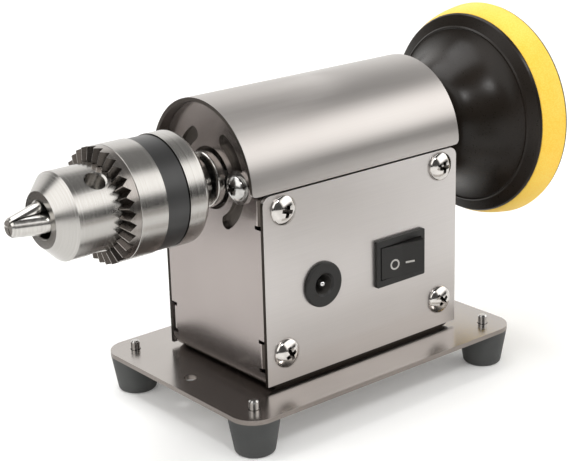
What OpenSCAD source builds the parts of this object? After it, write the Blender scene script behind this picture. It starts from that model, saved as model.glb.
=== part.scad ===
// Small bench buffer. A double-shaft DC motor sits in a bent steel frame on a
// base plate with rubber feet. One shaft end turns a keyed drill chuck and the
// other a foam backing pad. Lengths are millimetres. X runs along the spindle
// from the chuck to the pad, the switch faces -Y, and Z is up from the bench.
// The origin is on the bench, midway between the jaw tips and the pad's face.

/* [Base plate and feet] */
// How far the base plate runs past each end of the housing
base_end_margin = 17; // [15:0.5:30]
// How far the base plate sits towards the chuck from the housing's middle
base_shift = 1.5; // [0:0.5:4]
// How far the base plate runs past each side of the housing
base_side_margin = 14; // [12:0.5:30]
// Thickness of the base plate
base_t = 1.5; // [1:0.25:3]
// Corner radius of the base plate
base_corner = 8; // [4:0.5:10]
// Diameter of the two holes that bolt the plate to a bench
bench_hole_d = 4.2; // [3:0.1:6]
// Distance from a bench hole's centre to the plate's end
bench_hole_inset = 7.5; // [5:0.5:9]
// Height of a rubber foot
foot_h = 12; // [9:0.5:20]
// Diameter of a foot where it meets the plate
foot_top_d = 16.2; // [14:0.2:20]
// Diameter of a foot at the bench
foot_bottom_d = 12.6; // [12:0.2:15]
// Distance from the plate's edge to a foot's edge
foot_edge = 0; // [0:0.25:3]
// Thread diameter of a foot screw
foot_screw_d = 3; // [2.5:0.1:3.9]
// Depth of the screw pocket in a foot
foot_pocket = 5.3; // [4.5:0.1:7]
// How far a foot screw's tip stands above the plate
foot_screw_proud = 3; // [1:0.1:4]

/* [Housing] */
// Length of the housing over its two end plates
housing_l = 80; // [78:1:100]
// Width of the housing over its side panels
housing_w = 50; // [49:1:64]
// Height of a side panel
panel_h = 60; // [56:1:80]
// Gap between the base plate and a side panel
panel_lift = 1.5; // [0.5:0.25:3]
// Height of the spindle axis above the side panels
axis_rise = 1; // [0.7:0.1:3]
// Thickness of the bent frame
frame_t = 1.5; // [1:0.25:1.75]
// Outer radius of the bends at the frame's floor
floor_bend_r = 5; // [3:0.5:5.5]
// Outer radius of the bends at the frame's tabs
bend_r = 2; // [1.8:0.1:3]
// Thickness of a side panel
panel_t = 1.2; // [0.8:0.1:1.5]
// Top corner radius of a side panel
panel_corner = 3; // [1:0.5:3.5]
// Thickness of the top cover
cover_t = 1.2; // [0.8:0.1:1.5]
// Gap between the top cover and a side panel
cover_gap = 0.6; // [0.3:0.1:0.6]
// How far the cover overhangs the chuck end
cover_front = 3.5; // [0:0.5:5]
// How far the cover overhangs the pad end
cover_rear = 1.2; // [0:0.1:1.2]
// Radius of the cover's lower corners
cover_corner = 1.5; // [0.5:0.25:3]
// Height of a frame tab that a panel screw holds
tab_h = 8; // [7:0.5:9]
// Length of a frame tab
tab_l = 13; // [11.5:0.5:16]
// Width of the relief cut beside a tab
relief_w = 1.2; // [0.5:0.1:1.5]
// Depth of the relief cut past the bend
relief_d = 0.8; // [0.4:0.1:1.5]

/* [Motor openings] */
// Diameter of the round hole in each end plate
plate_hole_d = 19.5; // [18.5:0.25:20.5]
// Width of a motor screw slot
slot_w = 4.5; // [4.4:0.1:6]
// Half the angle that a motor screw slot covers, to its end centres
slot_sweep = 59; // [20:1:65]

/* [Panel screws] */
// Diameter of a panel screw's head
panel_head_d = 9.6; // [8:0.1:10]
// Height of a panel screw's head
panel_head_h = 2.6; // [2:0.1:3.6]
// Diameter of a panel screw's thread
panel_screw_d = 5; // [4:0.5:5]
// How far a panel screw passes its tab
panel_screw_past = 1.3; // [0.3:0.1:1.3]
// Distance from a panel screw to the panel's end
panel_screw_inset = 7.5; // [6.5:0.5:9]
// Distance from an upper panel screw to the panel's top
panel_screw_top = 5.2; // [5:0.1:7]
// Height of a lower panel screw above the panel's foot
panel_screw_foot = 9.4; // [8:0.1:14]

/* [Small screws] */
// Thread diameter of the frame and motor screws
small_screw_d = 3.9; // [3:0.1:4]
// Diameter of the hole that such a screw passes through
small_hole_d = 4.3; // [4.2:0.1:4.8]
// Head diameter of the small screws
small_head_d = 8; // [6:0.1:8]
// Head height of the small screws
small_head_h = 2.8; // [1.5:0.1:3]
// Diameter of a washer
washer_d = 7; // [6.5:0.1:8.4]
// Thickness of a washer
washer_t = 0.8; // [0.5:0.1:1]
// Width across the flats of a frame nut
nut_af = 7; // [6:0.1:8]
// Height of a frame nut
nut_h = 3.2; // [2:0.1:4]
// Distance of the frame screws from the housing's middle
frame_screw_x = 22; // [12:1:30]
// Distance of the frame screws from the middle line
frame_screw_y = 14; // [8:0.5:16]

/* [Motor] */
// Diameter of the motor can
motor_d = 42; // [38:0.5:43]
// Length of the motor can
motor_l = 60; // [56:1:62]
// Wall of the motor can
can_t = 1.5; // [1:0.1:1.8]
// Length of the end cap behind the can
cap_l = 6.7; // [6:0.1:8]
// Diameter of the bearing bosses
boss_d = 17.5; // [17:0.1:18]
// How far the front boss stands out of the front plate
boss_out = 3.5; // [3:0.1:4.5]
// Distance of the motor screws from the axis
motor_screw_r = 14.5; // [13.5:0.25:15]
// Diameter of a motor screw's washer
motor_washer_d = 10.4; // [9:0.1:11]
// Outer diameter of a ball bearing
bearing_d = 16; // [15:0.1:16]
// Width of a ball bearing
bearing_w = 5; // [4:0.1:5]
// Diameter of the motor shaft
shaft_d = 5; // [4:0.5:5]
// Diameter of the armature core
core_d = 33.2; // [28:0.2:34]
// Length of the armature core
core_l = 38; // [30:1:40]
// Number of armature slots
core_slots = 10; // [5:1:12]
// Diameter of the commutator
commutator_d = 12.4; // [10:0.2:13]

/* [Chuck] */
// Gap between the front plate and the chuck's rear face
chuck_gap = 12.5; // [12:0.5:20]
// Length of the chuck body
chuck_body_l = 46.3; // [45:0.1:48]
// Diameter of the chuck's sleeve and rear collar
chuck_d = 34.4; // [34:0.1:36]
// Diameter of the chuck body in front of the sleeve
chuck_body_d = 26; // [25:0.1:27]
// Length of the rear collar
collar_l = 7.2; // [6.5:0.1:7.4]
// Rounding of the collar's rear edge
collar_edge = 1.6; // [0.5:0.1:2]
// Length of the sleeve
sleeve_l = 21.3; // [21:0.1:22]
// Wall of the sleeve over the jaws
sleeve_wall = 1.7; // [1.5:0.1:1.7]
// Width of the grip band on the sleeve
band_l = 7.5; // [4:0.1:8]
// How deep the grip band sits below the sleeve
band_drop = 0.3; // [0:0.1:0.6]
// Thickness of the grip band
band_t = 0.8; // [0.5:0.1:0.9]
// Axial height of the bevel that carries the gear teeth
bevel_l = 0.9; // [0.5:0.1:1.5]
// Length of the gear ring behind the bevel
gear_ring_l = 3.9; // [3:0.1:6]
// Number of gear teeth
gear_teeth = 32; // [28:1:36]
// Depth of a tooth space at the rim, measured along the axis
tooth_depth = 2.1; // [1.5:0.1:2.3]
// Half the angle of a tooth space
tooth_angle = 38; // [30:1:42]
// Diameter of the nose face
nose_d = 16.6; // [15:0.1:18]
// Length of the nose cone
nose_cone_l = 4.8; // [4:0.1:6]
// Diameter of the mouth that the jaws come out of
mouth_d = 11; // [10.9:0.1:12]
// Diameter of a key hole
key_hole_d = 6; // [5:0.1:6.4]
// Distance of the key holes in front of the sleeve
key_hole_front = 3.7; // [3.6:0.1:5]
// Depth of a key hole's floor below the body's surface
key_hole_depth = 5.9; // [4:0.1:6]
// Angle of the first key hole about the axis, from +Y
key_angle = 127; // [0:1:180]

/* [Jaws] */
// Diameter of a jaw
jaw_d = 5.6; // [5:0.1:5.8]
// Lean of a jaw against the spindle axis
jaw_tilt = 14.5; // [13.5:0.1:15]
// How far the jaw tips reach past the nose
jaw_reach = 10.2; // [9:0.1:11]
// Radius of the closed jaws at their tips
jaw_tip_r = 2.7; // [2.4:0.1:2.8]
// Gap that the jaws leave between them as drawn
jaw_gap = 0.35; // [0.2:0.05:0.6]
// Travel of a jaw along its bore from closed to open
jaw_travel = 18; // [12:0.5:18]
// Pitch of the jaw teeth
jaw_pitch = 2; // [1.5:0.1:2.5]
// Length of the split nut
nut_ring_l = 5; // [4:0.1:6]
// Length of the sleeve's front lip
lip_l = 3; // [2.8:0.1:3.4]

/* [Spindle adapters] */
// Diameter of the chuck taper at the chuck's rear face
taper_d = 12.06; // [11.8:0.01:12.2]
// Length of the chuck taper
taper_l = 18; // [16:0.5:18.5]
// Diameter of the adapter collars
collar_d = 15; // [13:0.1:16]
// Diameter of the set screws
set_screw_d = 4; // [3:0.1:4]
// Length of the pad adapter's collar
pad_collar_l = 8; // [6:0.1:9]
// Diameter of the pad adapter's threaded end
pad_stud_d = 10; // [8:0.1:10]
// Length of the pad adapter's threaded end
pad_stud_l = 13; // [10:0.1:13]

/* [Pad] */
// Distance from the rear plate to the pad's working face
pad_out = 40.5; // [40:0.5:50]
// Diameter of the pad's working face
pad_d = 74; // [71:0.5:80]
// Thickness of the foam
foam_t = 9.1; // [6:0.1:12]
// Thickness of the hook layer
hook_t = 0.7; // [0.5:0.1:1]
// Diameter of the backing's rim
backing_d = 69; // [68:0.5:70]
// Height of the moulded backing
backing_h = 20.5; // [19:0.1:21]
// Diameter of the backing's hub
hub_d = 24; // [23:0.5:26]
// Diameter of the fine ridge round the backing
ridge_d = 59; // [54:0.5:62]
// Width across the flats of the moulded-in nut
insert_af = 16; // [15:0.1:17]
// Length of the moulded-in nut
insert_l = 10; // [8:0.1:10.5]

/* [Power inlet] */
// Distance of the inlet from the housing's front
inlet_x = 22.2; // [20:0.1:26]
// Height of the inlet above the panel's foot
inlet_z = 27.8; // [24:0.1:29]
// Diameter of the inlet's flange
inlet_flange_d = 14.4; // [13:0.1:15]
// Thickness of the inlet's flange
inlet_flange_t = 1.2; // [1:0.1:2.5]
// Diameter of the inlet's threaded barrel
inlet_barrel_d = 11; // [10:0.1:12]
// Length of the inlet behind the panel's outer face
inlet_l = 13; // [12:0.1:15]
// Diameter of the socket
socket_d = 6.4; // [6:0.1:6.6]
// Depth of the socket
socket_l = 9.5; // [8:0.1:10]
// Diameter of the contact pin
pin_d = 2.1; // [1.8:0.1:2.5]

/* [Switch] */
// Distance of the switch from the housing's front
switch_x = 54.4; // [50:0.1:58]
// Height of the switch above the panel's foot
switch_z = 28.4; // [24:0.1:29]
// Length of the switch bezel
bezel_l = 20.8; // [20.8:0.1:23]
// Height of the switch bezel
bezel_h = 15.4; // [14.4:0.1:16]
// Thickness of the switch bezel
bezel_t = 1.2; // [1:0.1:2.5]
// Wall round the rocker at its ends
switch_wall = 0.5; // [0.4:0.1:0.6]
// Depth of the switch body behind the panel's outer face
switch_depth = 13; // [12:0.5:14]
// Length of the rocker's swing circle
rocker_d = 17.2; // [16.8:0.1:17.2]
// Height of the rocker
rocker_h = 10.4; // [9:0.1:10.6]
// Rocker tilt to each side of its middle
rocker_tilt = 11; // [8:1:12]
// Slope of each half of the rocker's face
rocker_slope = 4; // [2:1:6]
// Diameter of the rocker's pivot pins
rocker_pin_d = 2; // [1.6:0.1:2.2]

/* [Hidden] */
$fn = 64;

// Clearances
seat = 0.02;
fit = 0.05;
run = 0.3;
bearing_run = 0.03;
eps = 1;
// Chamfer at the tip of each screw
screw_tip = 0.5;

// Heights above the bench
base_top = foot_h + base_t;
frame_floor = base_top + frame_t;
panel_foot = base_top + panel_lift;
panel_top = panel_foot + panel_h;
axis_z = panel_top + axis_rise;
cover_foot = panel_top + cover_gap;

// Widths, measured from the middle line
panel_face = housing_w / 2;
panel_back = panel_face - panel_t;
frame_half = panel_back - 0.1;
arch_r = panel_face - cover_t - 0.1;

// Lengths along the spindle, measured from the front plate's outer face
cap_front = frame_t + motor_l;
cap_rear = cap_front + cap_l;
chuck_rear = -chuck_gap;
collar_front = chuck_rear - collar_l;
sleeve_rear = collar_front - run;
sleeve_front = sleeve_rear - sleeve_l;
gear_rim = sleeve_front + bevel_l;
gear_end = gear_rim + gear_ring_l;
band_front = sleeve_rear - band_l;
nose = chuck_rear - chuck_body_l;
cone_rear = nose + nose_cone_l;
key_x = sleeve_front - key_hole_front;
tip = nose - jaw_reach;
pad_face = housing_l + pad_out;
hook_rear = pad_face - hook_t;
foam_rear = hook_rear - foam_t;
hub_face = foam_rear - backing_h;
pad_collar_front = hub_face - run - pad_collar_l;
x_front = -(tip + pad_face) / 2;

// Base plate
base_l = housing_l + 2 * base_end_margin;
base_w = housing_w + 2 * base_side_margin;
base_middle = housing_l / 2 - base_shift;
foot_x = base_l / 2 - foot_top_d / 2 - foot_edge;
foot_y = base_w / 2 - foot_top_d / 2 - foot_edge;
bench_hole_x = base_l / 2 - bench_hole_inset;
foot_hole_r = foot_screw_d / 2 + 0.2;
foot_head_d = 2 * foot_screw_d;
foot_head_h = 0.7 * foot_screw_d;
foot_pocket_r = washer_d / 2 + 0.2;
foot_round = 1.3;

// Panel screws
panel_screw_xs = [panel_screw_inset, housing_l - panel_screw_inset];
panel_screw_zs = [panel_foot + panel_screw_foot, panel_top - panel_screw_top];
panel_hole_r = panel_screw_d / 2 + 0.15;

// Jaws and nut
jaw_r = jaw_d / 2;
jaw_angles = [for (i = [0:2]) key_angle + 60 + 120 * i];
key_angles = [for (i = [0:2]) key_angle + 120 * i];
jaw_apex = tip + (jaw_r / cos(jaw_tilt) - jaw_tip_r) / tan(jaw_tilt);
nut_front = sleeve_front + lip_l;
nut_rear = nut_front + nut_ring_l;
jaw_rear = nut_rear - 0.4;
jaw_bore_rear = jaw_rear + jaw_travel * cos(jaw_tilt) + 0.4;
sleeve_r = chuck_d / 2;
pocket_r = sleeve_r - sleeve_wall;
body_r = chuck_body_d / 2;
groove_r = jaw_out(nut_front) - 1;
band_seat_r = sleeve_r - band_drop - band_t;
// Turn of the sleeve about the axis, to the first tooth space
gear_turn = 7.3;
// Flat land between the sleeve's bore and its bevel
bevel_land = 0.6;
// Bevel at the mouth of a key hole
key_hole_edge = 0.5;
// Teeth on the back of a jaw, counted from its rear end
jaw_teeth = 8;

// Socket and bore of the chuck body
socket_end = chuck_rear - taper_l - 1;
grip_bore_end = socket_end - 4.5;
taper_slope = 1 / 40;

// Motor
boss_r = boss_d / 2;
front_bearing_x = -boss_out + 0.8;
rear_bearing_x = cap_rear - 2.4;
core_front = frame_t + 10;
core_rear = core_front + core_l;
commutator_front = core_rear + 7;
commutator_rear = rear_bearing_x - 1;
coil_r = core_d / 2 - 1.6;
shaft_front = chuck_rear - 0.75 * taper_l;
shaft_rear = pad_collar_front + pad_collar_l + 0.6 * pad_stud_l;
behind_motor = housing_l - frame_t - cap_rear;
terminal_y = motor_d / 4;
terminal_z = axis_z - 0.57 * motor_d / 2;
terminal_l = 0.8 * behind_motor;
lead_x = cap_rear + behind_motor / 2;

// Power inlet and switch
inlet_height = panel_foot + inlet_z;
switch_height = panel_foot + switch_z;
rocker_r = rocker_d / 2;
switch_half_l = rocker_r + 0.3;
switch_half_h = rocker_h / 2 + 0.3;
switch_body_l = 2 * (switch_half_l + switch_wall);
switch_body_h = 2 * (switch_half_h + 1.2);
pivot_z = -0.5;
rocker_crown = bezel_t - pivot_z + 1;
lug_t = 0.8;

// Radius of the jaws' outer line at a place along the spindle
function jaw_out(x) = (x - jaw_apex) * tan(jaw_tilt) + jaw_r / cos(jaw_tilt);
// Points along a circular arc
function arc(cx, cy, r, a, b, n) = [for (i = [0:n]) let (t = a + (b - a) * i / n)
    [cx + r * cos(t), cy + r * sin(t)]];
// Points along a cubic curve
function curve(a, b, c, d, n) = [for (i = [0:n]) let (t = i / n, s = 1 - t)
    s * s * s * a + 3 * s * s * t * b + 3 * s * t * t * c + t * t * t * d];

// Position helpers
module placed() translate([x_front, 0, 0]) children();
module at_axis() translate([x_front, 0, axis_z]) children();
// Solid turned about the spindle from [radius, x] points
module turned(points) rotate([0, 90, 0]) rotate_extrude() polygon(points);
// Ring about the spindle
module ring(x, length, outer_r, inner_r) {
    translate([x, 0, 0]) rotate([0, 90, 0]) difference() {
        cylinder(r = outer_r, h = length);
        translate([0, 0, -eps]) cylinder(r = inner_r, h = length + 2 * eps);
    }
}
// Rod about the spindle
module rod(x, length, r) translate([x, 0, 0]) rotate([0, 90, 0]) cylinder(r = r, h = length);
// Places a fitting on the switch panel: local z points out of the panel, local y up
module on_front_panel(x, z) translate([x, -panel_face, z]) rotate([90, 0, 0]) children();
// Places a fitting on the rear panel
module on_back_panel(x, z) translate([x, panel_face, z]) rotate([-90, 0, 0]) children();
// Prism along X from an outline in Y and Z
module along_x(x, length) translate([x, 0, 0]) rotate([90, 0, 90]) linear_extrude(length) children();
// Prism along Y from an outline in X and Z
module along_y(y, length) translate([0, y + length, 0]) rotate([90, 0, 0]) linear_extrude(length) children();

// Rectangle with round corners
module round_rect(l, w, r) {
    square([l - 2 * r, w], center = true);
    square([l, w - 2 * r], center = true);
    for (sx = [-1, 1], sy = [-1, 1]) translate([sx * (l / 2 - r), sy * (w / 2 - r)]) circle(r);
}
// Rectangle that stands on y = 0 with two round lower corners
module round_foot(l, h, r) {
    translate([0, r]) square([l, h - r]);
    translate([r, 0]) square([l - 2 * r, h]);
    for (x = [r, l - r]) translate([x, r]) circle(r);
}
// Cross-headed pan screw: the head's seat is z = 0 and the shank points down
module pan_screw(head_d, head_h, shank_d, length) {
    head_r = head_d / 2;
    rim = head_h * 0.25;
    crown = head_h - rim;
    dome_r = (head_r * head_r + crown * crown) / (2 * crown);
    difference() {
        intersection() {
            cylinder(r = head_r, h = head_h);
            translate([0, 0, head_h - dome_r]) sphere(dome_r);
        }
        translate([0, 0, head_h * 0.35]) intersection() {
            cylinder(r1 = head_r * 0.2, r2 = head_r * 0.56, h = head_h);
            union() {
                cube([head_d, head_d * 0.11, 3 * head_h], center = true);
                cube([head_d * 0.11, head_d, 3 * head_h], center = true);
            }
        }
    }
    translate([0, 0, -length]) cylinder(r = shank_d / 2, h = length + head_h * 0.1);
    translate([0, 0, -length - screw_tip])
        cylinder(r1 = shank_d / 2 - screw_tip, r2 = shank_d / 2, h = screw_tip);
}
module washer(d, hole_d, t) {
    difference() {
        cylinder(r = d / 2, h = t);
        translate([0, 0, -eps]) cylinder(r = hole_d / 2, h = t + 2 * eps);
    }
}
module hex_nut(af, hole_d, h) {
    difference() {
        cylinder(r = af / sqrt(3), h = h, $fn = 6);
        translate([0, 0, -eps]) cylinder(r = hole_d / 2, h = h + 2 * eps);
    }
}

// Places for repeated pieces
module at_foot(sx, sy) placed() translate([base_middle + sx * foot_x, sy * foot_y, 0]) children();
module at_frame_screws() {
    placed() for (sx = [-1, 1], sy = [-1, 1])
        translate([housing_l / 2 + sx * frame_screw_x, sy * frame_screw_y, 0]) children();
}
module at_motor_screws() at_axis() for (sy = [-1, 1]) translate([0, sy * motor_screw_r, 0]) children();

// Base plate with its foot, frame and bench holes
module base_plate() color("#b8b2ad") placed() translate([base_middle, 0, foot_h]) difference() {
    linear_extrude(base_t) round_rect(base_l, base_w, base_corner);
    for (sx = [-1, 1]) {
        translate([sx * bench_hole_x, 0, -eps]) cylinder(r = bench_hole_d / 2, h = base_t + 2 * eps);
        for (sy = [-1, 1]) {
            translate([sx * foot_x, sy * foot_y, -eps]) cylinder(r = foot_hole_r, h = base_t + 2 * eps);
            translate([base_shift + sx * frame_screw_x, sy * frame_screw_y, -eps])
                cylinder(r = small_hole_d / 2, h = base_t + 2 * eps);
        }
    }
}

// Tapered rubber foot with a pocket for its washer and screw
module foot(sx, sy) {
    top_r = foot_top_d / 2;
    low_r = foot_bottom_d / 2;
    color("#3c4142") at_foot(sx, sy) rotate_extrude() polygon(concat(
        [[foot_pocket_r, 0]],
        arc(low_r - foot_round, foot_round, foot_round, -90, -12, 6),
        [[top_r, foot_h], [foot_hole_r, foot_h], [foot_hole_r, foot_pocket], [foot_pocket_r, foot_pocket]]));
}
module foot_front_chuck_end() foot(-1, -1);
module foot_front_pad_end() foot(1, -1);
module foot_back_chuck_end() foot(-1, 1);
module foot_back_pad_end() foot(1, 1);

// Washer under each foot screw's head
module foot_washers() color("#c9c9c9") for (sx = [-1, 1], sy = [-1, 1])
    at_foot(sx, sy) translate([0, 0, foot_pocket - washer_t]) washer(washer_d, 2 * foot_hole_r, washer_t);

// Screw up through each foot, its tip above the plate
module foot_screws() color("#c9c9c9") for (sx = [-1, 1], sy = [-1, 1])
    at_foot(sx, sy) translate([0, 0, foot_pocket - washer_t]) mirror([0, 0, 1])
        pan_screw(foot_head_d, foot_head_h, foot_screw_d,
            base_top + foot_screw_proud - foot_pocket + washer_t - screw_tip);

// Outline of an end plate: straight sides under a half round
module end_plate_outline() {
    translate([-frame_half, base_top]) square([2 * frame_half, axis_z - base_top]);
    translate([0, axis_z]) intersection() {
        circle(arch_r);
        translate([-arch_r, -eps]) square([2 * arch_r, arch_r + 2 * eps]);
    }
}
// Curved slot that lets the motor screw turn about the axis
module motor_slot() {
    r = slot_w / 2;
    end_steps = 8;
    turns = [for (i = [1:end_steps - 1]) 180 * i / end_steps];
    end_x = motor_screw_r * cos(slot_sweep);
    end_y = motor_screw_r * sin(slot_sweep);
    polygon(concat(
        arc(0, 0, motor_screw_r + r, -slot_sweep, slot_sweep, 20),
        [for (a = turns) [end_x + r * cos(slot_sweep + a), end_y + r * sin(slot_sweep + a)]],
        arc(0, 0, motor_screw_r - r, slot_sweep, -slot_sweep, 14),
        [for (a = turns) [end_x - r * cos(a - slot_sweep), -end_y - r * sin(a - slot_sweep)]]));
}
// Outline of a tab bent back from an end plate, seen from above
module tab_outline() {
    translate([0, -bend_r - relief_d - 0.2]) square([frame_t, relief_d + 0.2]);
    difference() {
        intersection() {
            translate([bend_r, -bend_r]) circle(bend_r);
            translate([0, -bend_r]) square(bend_r);
        }
        translate([bend_r, -bend_r]) circle(bend_r - frame_t);
    }
    translate([bend_r, -frame_t]) square([tab_l - bend_r, frame_t]);
}
// Frame bent from one sheet: front plate, floor, rear plate and eight tabs
module motor_frame() color("#a9a19b") placed() {
    difference() {
        intersection() {
            translate([0, 0, base_top]) along_y(-frame_half, 2 * frame_half) difference() {
                round_foot(housing_l, 2 * panel_h, floor_bend_r);
                translate([frame_t, frame_t])
                    round_foot(housing_l - 2 * frame_t, 3 * panel_h, floor_bend_r - frame_t);
            }
            along_x(-eps, housing_l + 2 * eps) end_plate_outline();
        }
        for (x = [0, housing_l], sy = [-1, 1], z = panel_screw_zs)
            translate([x - 2 * frame_t, sy * panel_back - (bend_r + relief_d), z - tab_h / 2 - relief_w])
                cube([4 * frame_t, 2 * (bend_r + relief_d), tab_h + 2 * relief_w]);
        translate([0, 0, axis_z]) {
            rod(-eps, housing_l + 2 * eps, plate_hole_d / 2);
            for (side = [0, 180]) rotate([side, 0, 0]) along_x(-eps, frame_t + 2 * eps) motor_slot();
        }
        translate([housing_l / 2, 0, base_top]) for (sx = [-1, 1], sy = [-1, 1])
            translate([sx * frame_screw_x, sy * frame_screw_y, -eps])
                cylinder(r = small_hole_d / 2, h = frame_t + 2 * eps);
    }
    for (end = [0, 1], side = [0, 1], z = panel_screw_zs)
        translate([end * housing_l, 0, 0]) mirror([end, 0, 0]) mirror([0, side, 0])
            difference() {
                translate([0, panel_back, z - tab_h / 2]) linear_extrude(tab_h) tab_outline();
                translate([panel_screw_inset, panel_back - 2 * frame_t, z]) rotate([-90, 0, 0])
                    cylinder(r = panel_screw_d / 2 + fit, h = 3 * frame_t);
            }
}

// Screws up through the base plate into the frame's floor
module frame_screws() color("#c9c9c9") at_frame_screws() translate([0, 0, foot_h]) mirror([0, 0, 1])
    pan_screw(small_head_d, small_head_h, small_screw_d, base_t + frame_t + nut_h + 0.6);
module frame_nuts() color("#c9c9c9") at_frame_screws() translate([0, 0, frame_floor])
    hex_nut(nut_af, small_screw_d + 2 * fit, nut_h);

// Flat side panel with four screw holes
module panel_outline() {
    difference() {
        union() {
            translate([0, panel_foot]) square([housing_l, panel_h - panel_corner]);
            translate([panel_corner, panel_foot]) square([housing_l - 2 * panel_corner, panel_h]);
            for (x = [panel_corner, housing_l - panel_corner])
                translate([x, panel_top - panel_corner]) circle(panel_corner);
        }
        for (x = panel_screw_xs, z = panel_screw_zs) translate([x, z]) circle(panel_hole_r);
    }
}
module front_side_panel() color("#c4bfba") placed() along_y(-panel_face, panel_t) difference() {
    panel_outline();
    translate([inlet_x, inlet_height]) circle(inlet_barrel_d / 2 + fit);
    translate([switch_x, switch_height]) square([switch_body_l + 0.2, switch_body_h + 0.2], center = true);
}
module back_side_panel() color("#c4bfba") placed() along_y(panel_back, panel_t) panel_outline();
module front_panel_screws() color("#d8d8d8") placed() for (x = panel_screw_xs, z = panel_screw_zs)
    on_front_panel(x, z) rotate(25) pan_screw(panel_head_d, panel_head_h, panel_screw_d,
        panel_t + frame_t + panel_screw_past - screw_tip);
module back_panel_screws() color("#d8d8d8") placed() for (x = panel_screw_xs, z = panel_screw_zs)
    on_back_panel(x, z) rotate(25) pan_screw(panel_head_d, panel_head_h, panel_screw_d,
        panel_t + frame_t + panel_screw_past - screw_tip);

// Half-round cover over the motor, seated on the end plates
module top_cover() color("#b5b0ab") placed() {
    cover_l = housing_l + cover_front + cover_rear;
    intersection() {
        along_x(-cover_front, cover_l) translate([0, axis_z]) difference() {
            circle(panel_face);
            circle(panel_face - cover_t);
        }
        translate([-cover_front, 0, cover_foot]) along_y(-housing_w, 2 * housing_w)
            round_foot(cover_l, housing_w, cover_corner);
    }
}

// Drawn steel can with a bearing boss at its front
module motor_can() color("#5b5b5d") at_axis() difference() {
    turned(concat(
        [[boss_r - 3, -boss_out]],
        arc(boss_r - 0.8, 0.8 - boss_out, 0.8, -90, 0, 4),
        [[boss_r, frame_t]],
        arc(motor_d / 2 - 1.5, frame_t + 1.5, 1.5, -90, 0, 4),
        [[motor_d / 2, cap_front], [motor_d / 2 - can_t, cap_front]],
        [[motor_d / 2 - can_t, frame_t + can_t], [bearing_d / 2 + seat, frame_t + can_t]],
        [[bearing_d / 2 + seat, front_bearing_x], [boss_r - 3, front_bearing_x]]));
    for (sy = [-1, 1]) translate([0, sy * motor_screw_r, 0])
        rod(0, frame_t + can_t + eps, small_screw_d / 2 + fit);
}
// Moulded end cap that carries the brushes and the rear bearing
module motor_end_cap() color("#2b2b2d") at_axis() turned([
    [motor_d / 2 - can_t - 0.1, cap_front - 2], [motor_d / 2 - can_t - 0.1, cap_front],
    [motor_d / 2, cap_front], [motor_d / 2 - 0.6, cap_rear], [boss_r + 0.6, cap_rear],
    [boss_r, rear_bearing_x + bearing_w + 0.8], [bearing_d / 2 - 2, rear_bearing_x + bearing_w + 0.8],
    [bearing_d / 2 - 2, rear_bearing_x + bearing_w], [bearing_d / 2 + seat, rear_bearing_x + bearing_w],
    [bearing_d / 2 + seat, rear_bearing_x], [motor_d / 2 - 4, rear_bearing_x],
    [motor_d / 2 - 4, cap_front - 2]]);
// Two field magnets against the can's wall
module motor_magnets() color("#4a4640") at_axis() {
    outer_r = motor_d / 2 - can_t - seat;
    for (side = [0, 180]) rotate([side, 0, 0]) along_x(core_front - 2, core_l + 4) intersection() {
        difference() {
            circle(outer_r);
            circle(core_d / 2 + 0.7);
        }
        polygon([[0, 0], [outer_r, -outer_r * tan(62)], [2 * outer_r, 0], [outer_r, outer_r * tan(62)]]);
    }
}
// Shielded ball bearing
module bearing(x) color("#c2c4c6") at_axis() {
    bore_r = shaft_d / 2 + bearing_run;
    outer_r = bearing_d / 2;
    turned([
        [bore_r, x], [bore_r + 1.4, x], [bore_r + 1.5, x + 0.3], [outer_r - 1.6, x + 0.3],
        [outer_r - 1.5, x], [outer_r, x], [outer_r, x + bearing_w], [outer_r - 1.5, x + bearing_w],
        [outer_r - 1.6, x + bearing_w - 0.3], [bore_r + 1.5, x + bearing_w - 0.3],
        [bore_r + 1.4, x + bearing_w], [bore_r, x + bearing_w]]);
}
module front_bearing() bearing(front_bearing_x);
module rear_bearing() bearing(rear_bearing_x);
// Brass guides for the carbon brushes, standing on the end cap
brush_w = 0.4 * commutator_d;
brush_x = commutator_front + 2;
brush_l = rear_bearing_x - brush_x - 1.5;
brush_in = commutator_d / 2 + 0.2;
brush_out = 0.69 * motor_d / 2;
holder_wall = 0.7;
holder_in = brush_in + 2.2;
holder_out = brush_out + 1;
module brush_holders() color("#b8954a") at_axis() for (side = [0, 1]) mirror([0, side, 0]) difference() {
    translate([brush_x - holder_wall, holder_in, -brush_w / 2 - holder_wall])
        cube([rear_bearing_x - brush_x + holder_wall, holder_out - holder_in, brush_w + 2 * holder_wall]);
    translate([brush_x - 2 * fit, holder_in - eps, -brush_w / 2 - 2 * fit])
        cube([brush_l + 4 * fit, holder_out - holder_in + 2 * eps, brush_w + 4 * fit]);
}
module carbon_brushes() color("#333333") at_axis() for (side = [0, 1]) mirror([0, side, 0])
    translate([brush_x, 0, 0]) difference() {
        translate([0, 1, -brush_w / 2]) cube([brush_l, brush_out - 1, brush_w]);
        rod(-eps, brush_l + 2 * eps, brush_in);
    }
// Brass tabs that the motor's wires are soldered to
module motor_terminals() color("#c8a24c") placed() for (side = [-1, 1])
    translate([cap_rear, side * terminal_y - 2.4, terminal_z - lug_t / 2]) cube([terminal_l, 4.8, lug_t]);
// Screws that hold the motor to the front plate, through the curved slots
module motor_screws() color("#d0d0d0") at_motor_screws() translate([-washer_t, 0, 0]) rotate([0, -90, 0])
    rotate(20) pan_screw(small_head_d, small_head_h, small_screw_d, washer_t + frame_t + can_t - screw_tip);
module motor_washers() color("#c4c4c4") at_motor_screws() translate([-washer_t, 0, 0]) rotate([0, 90, 0])
    washer(motor_washer_d, small_hole_d, washer_t);

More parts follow.
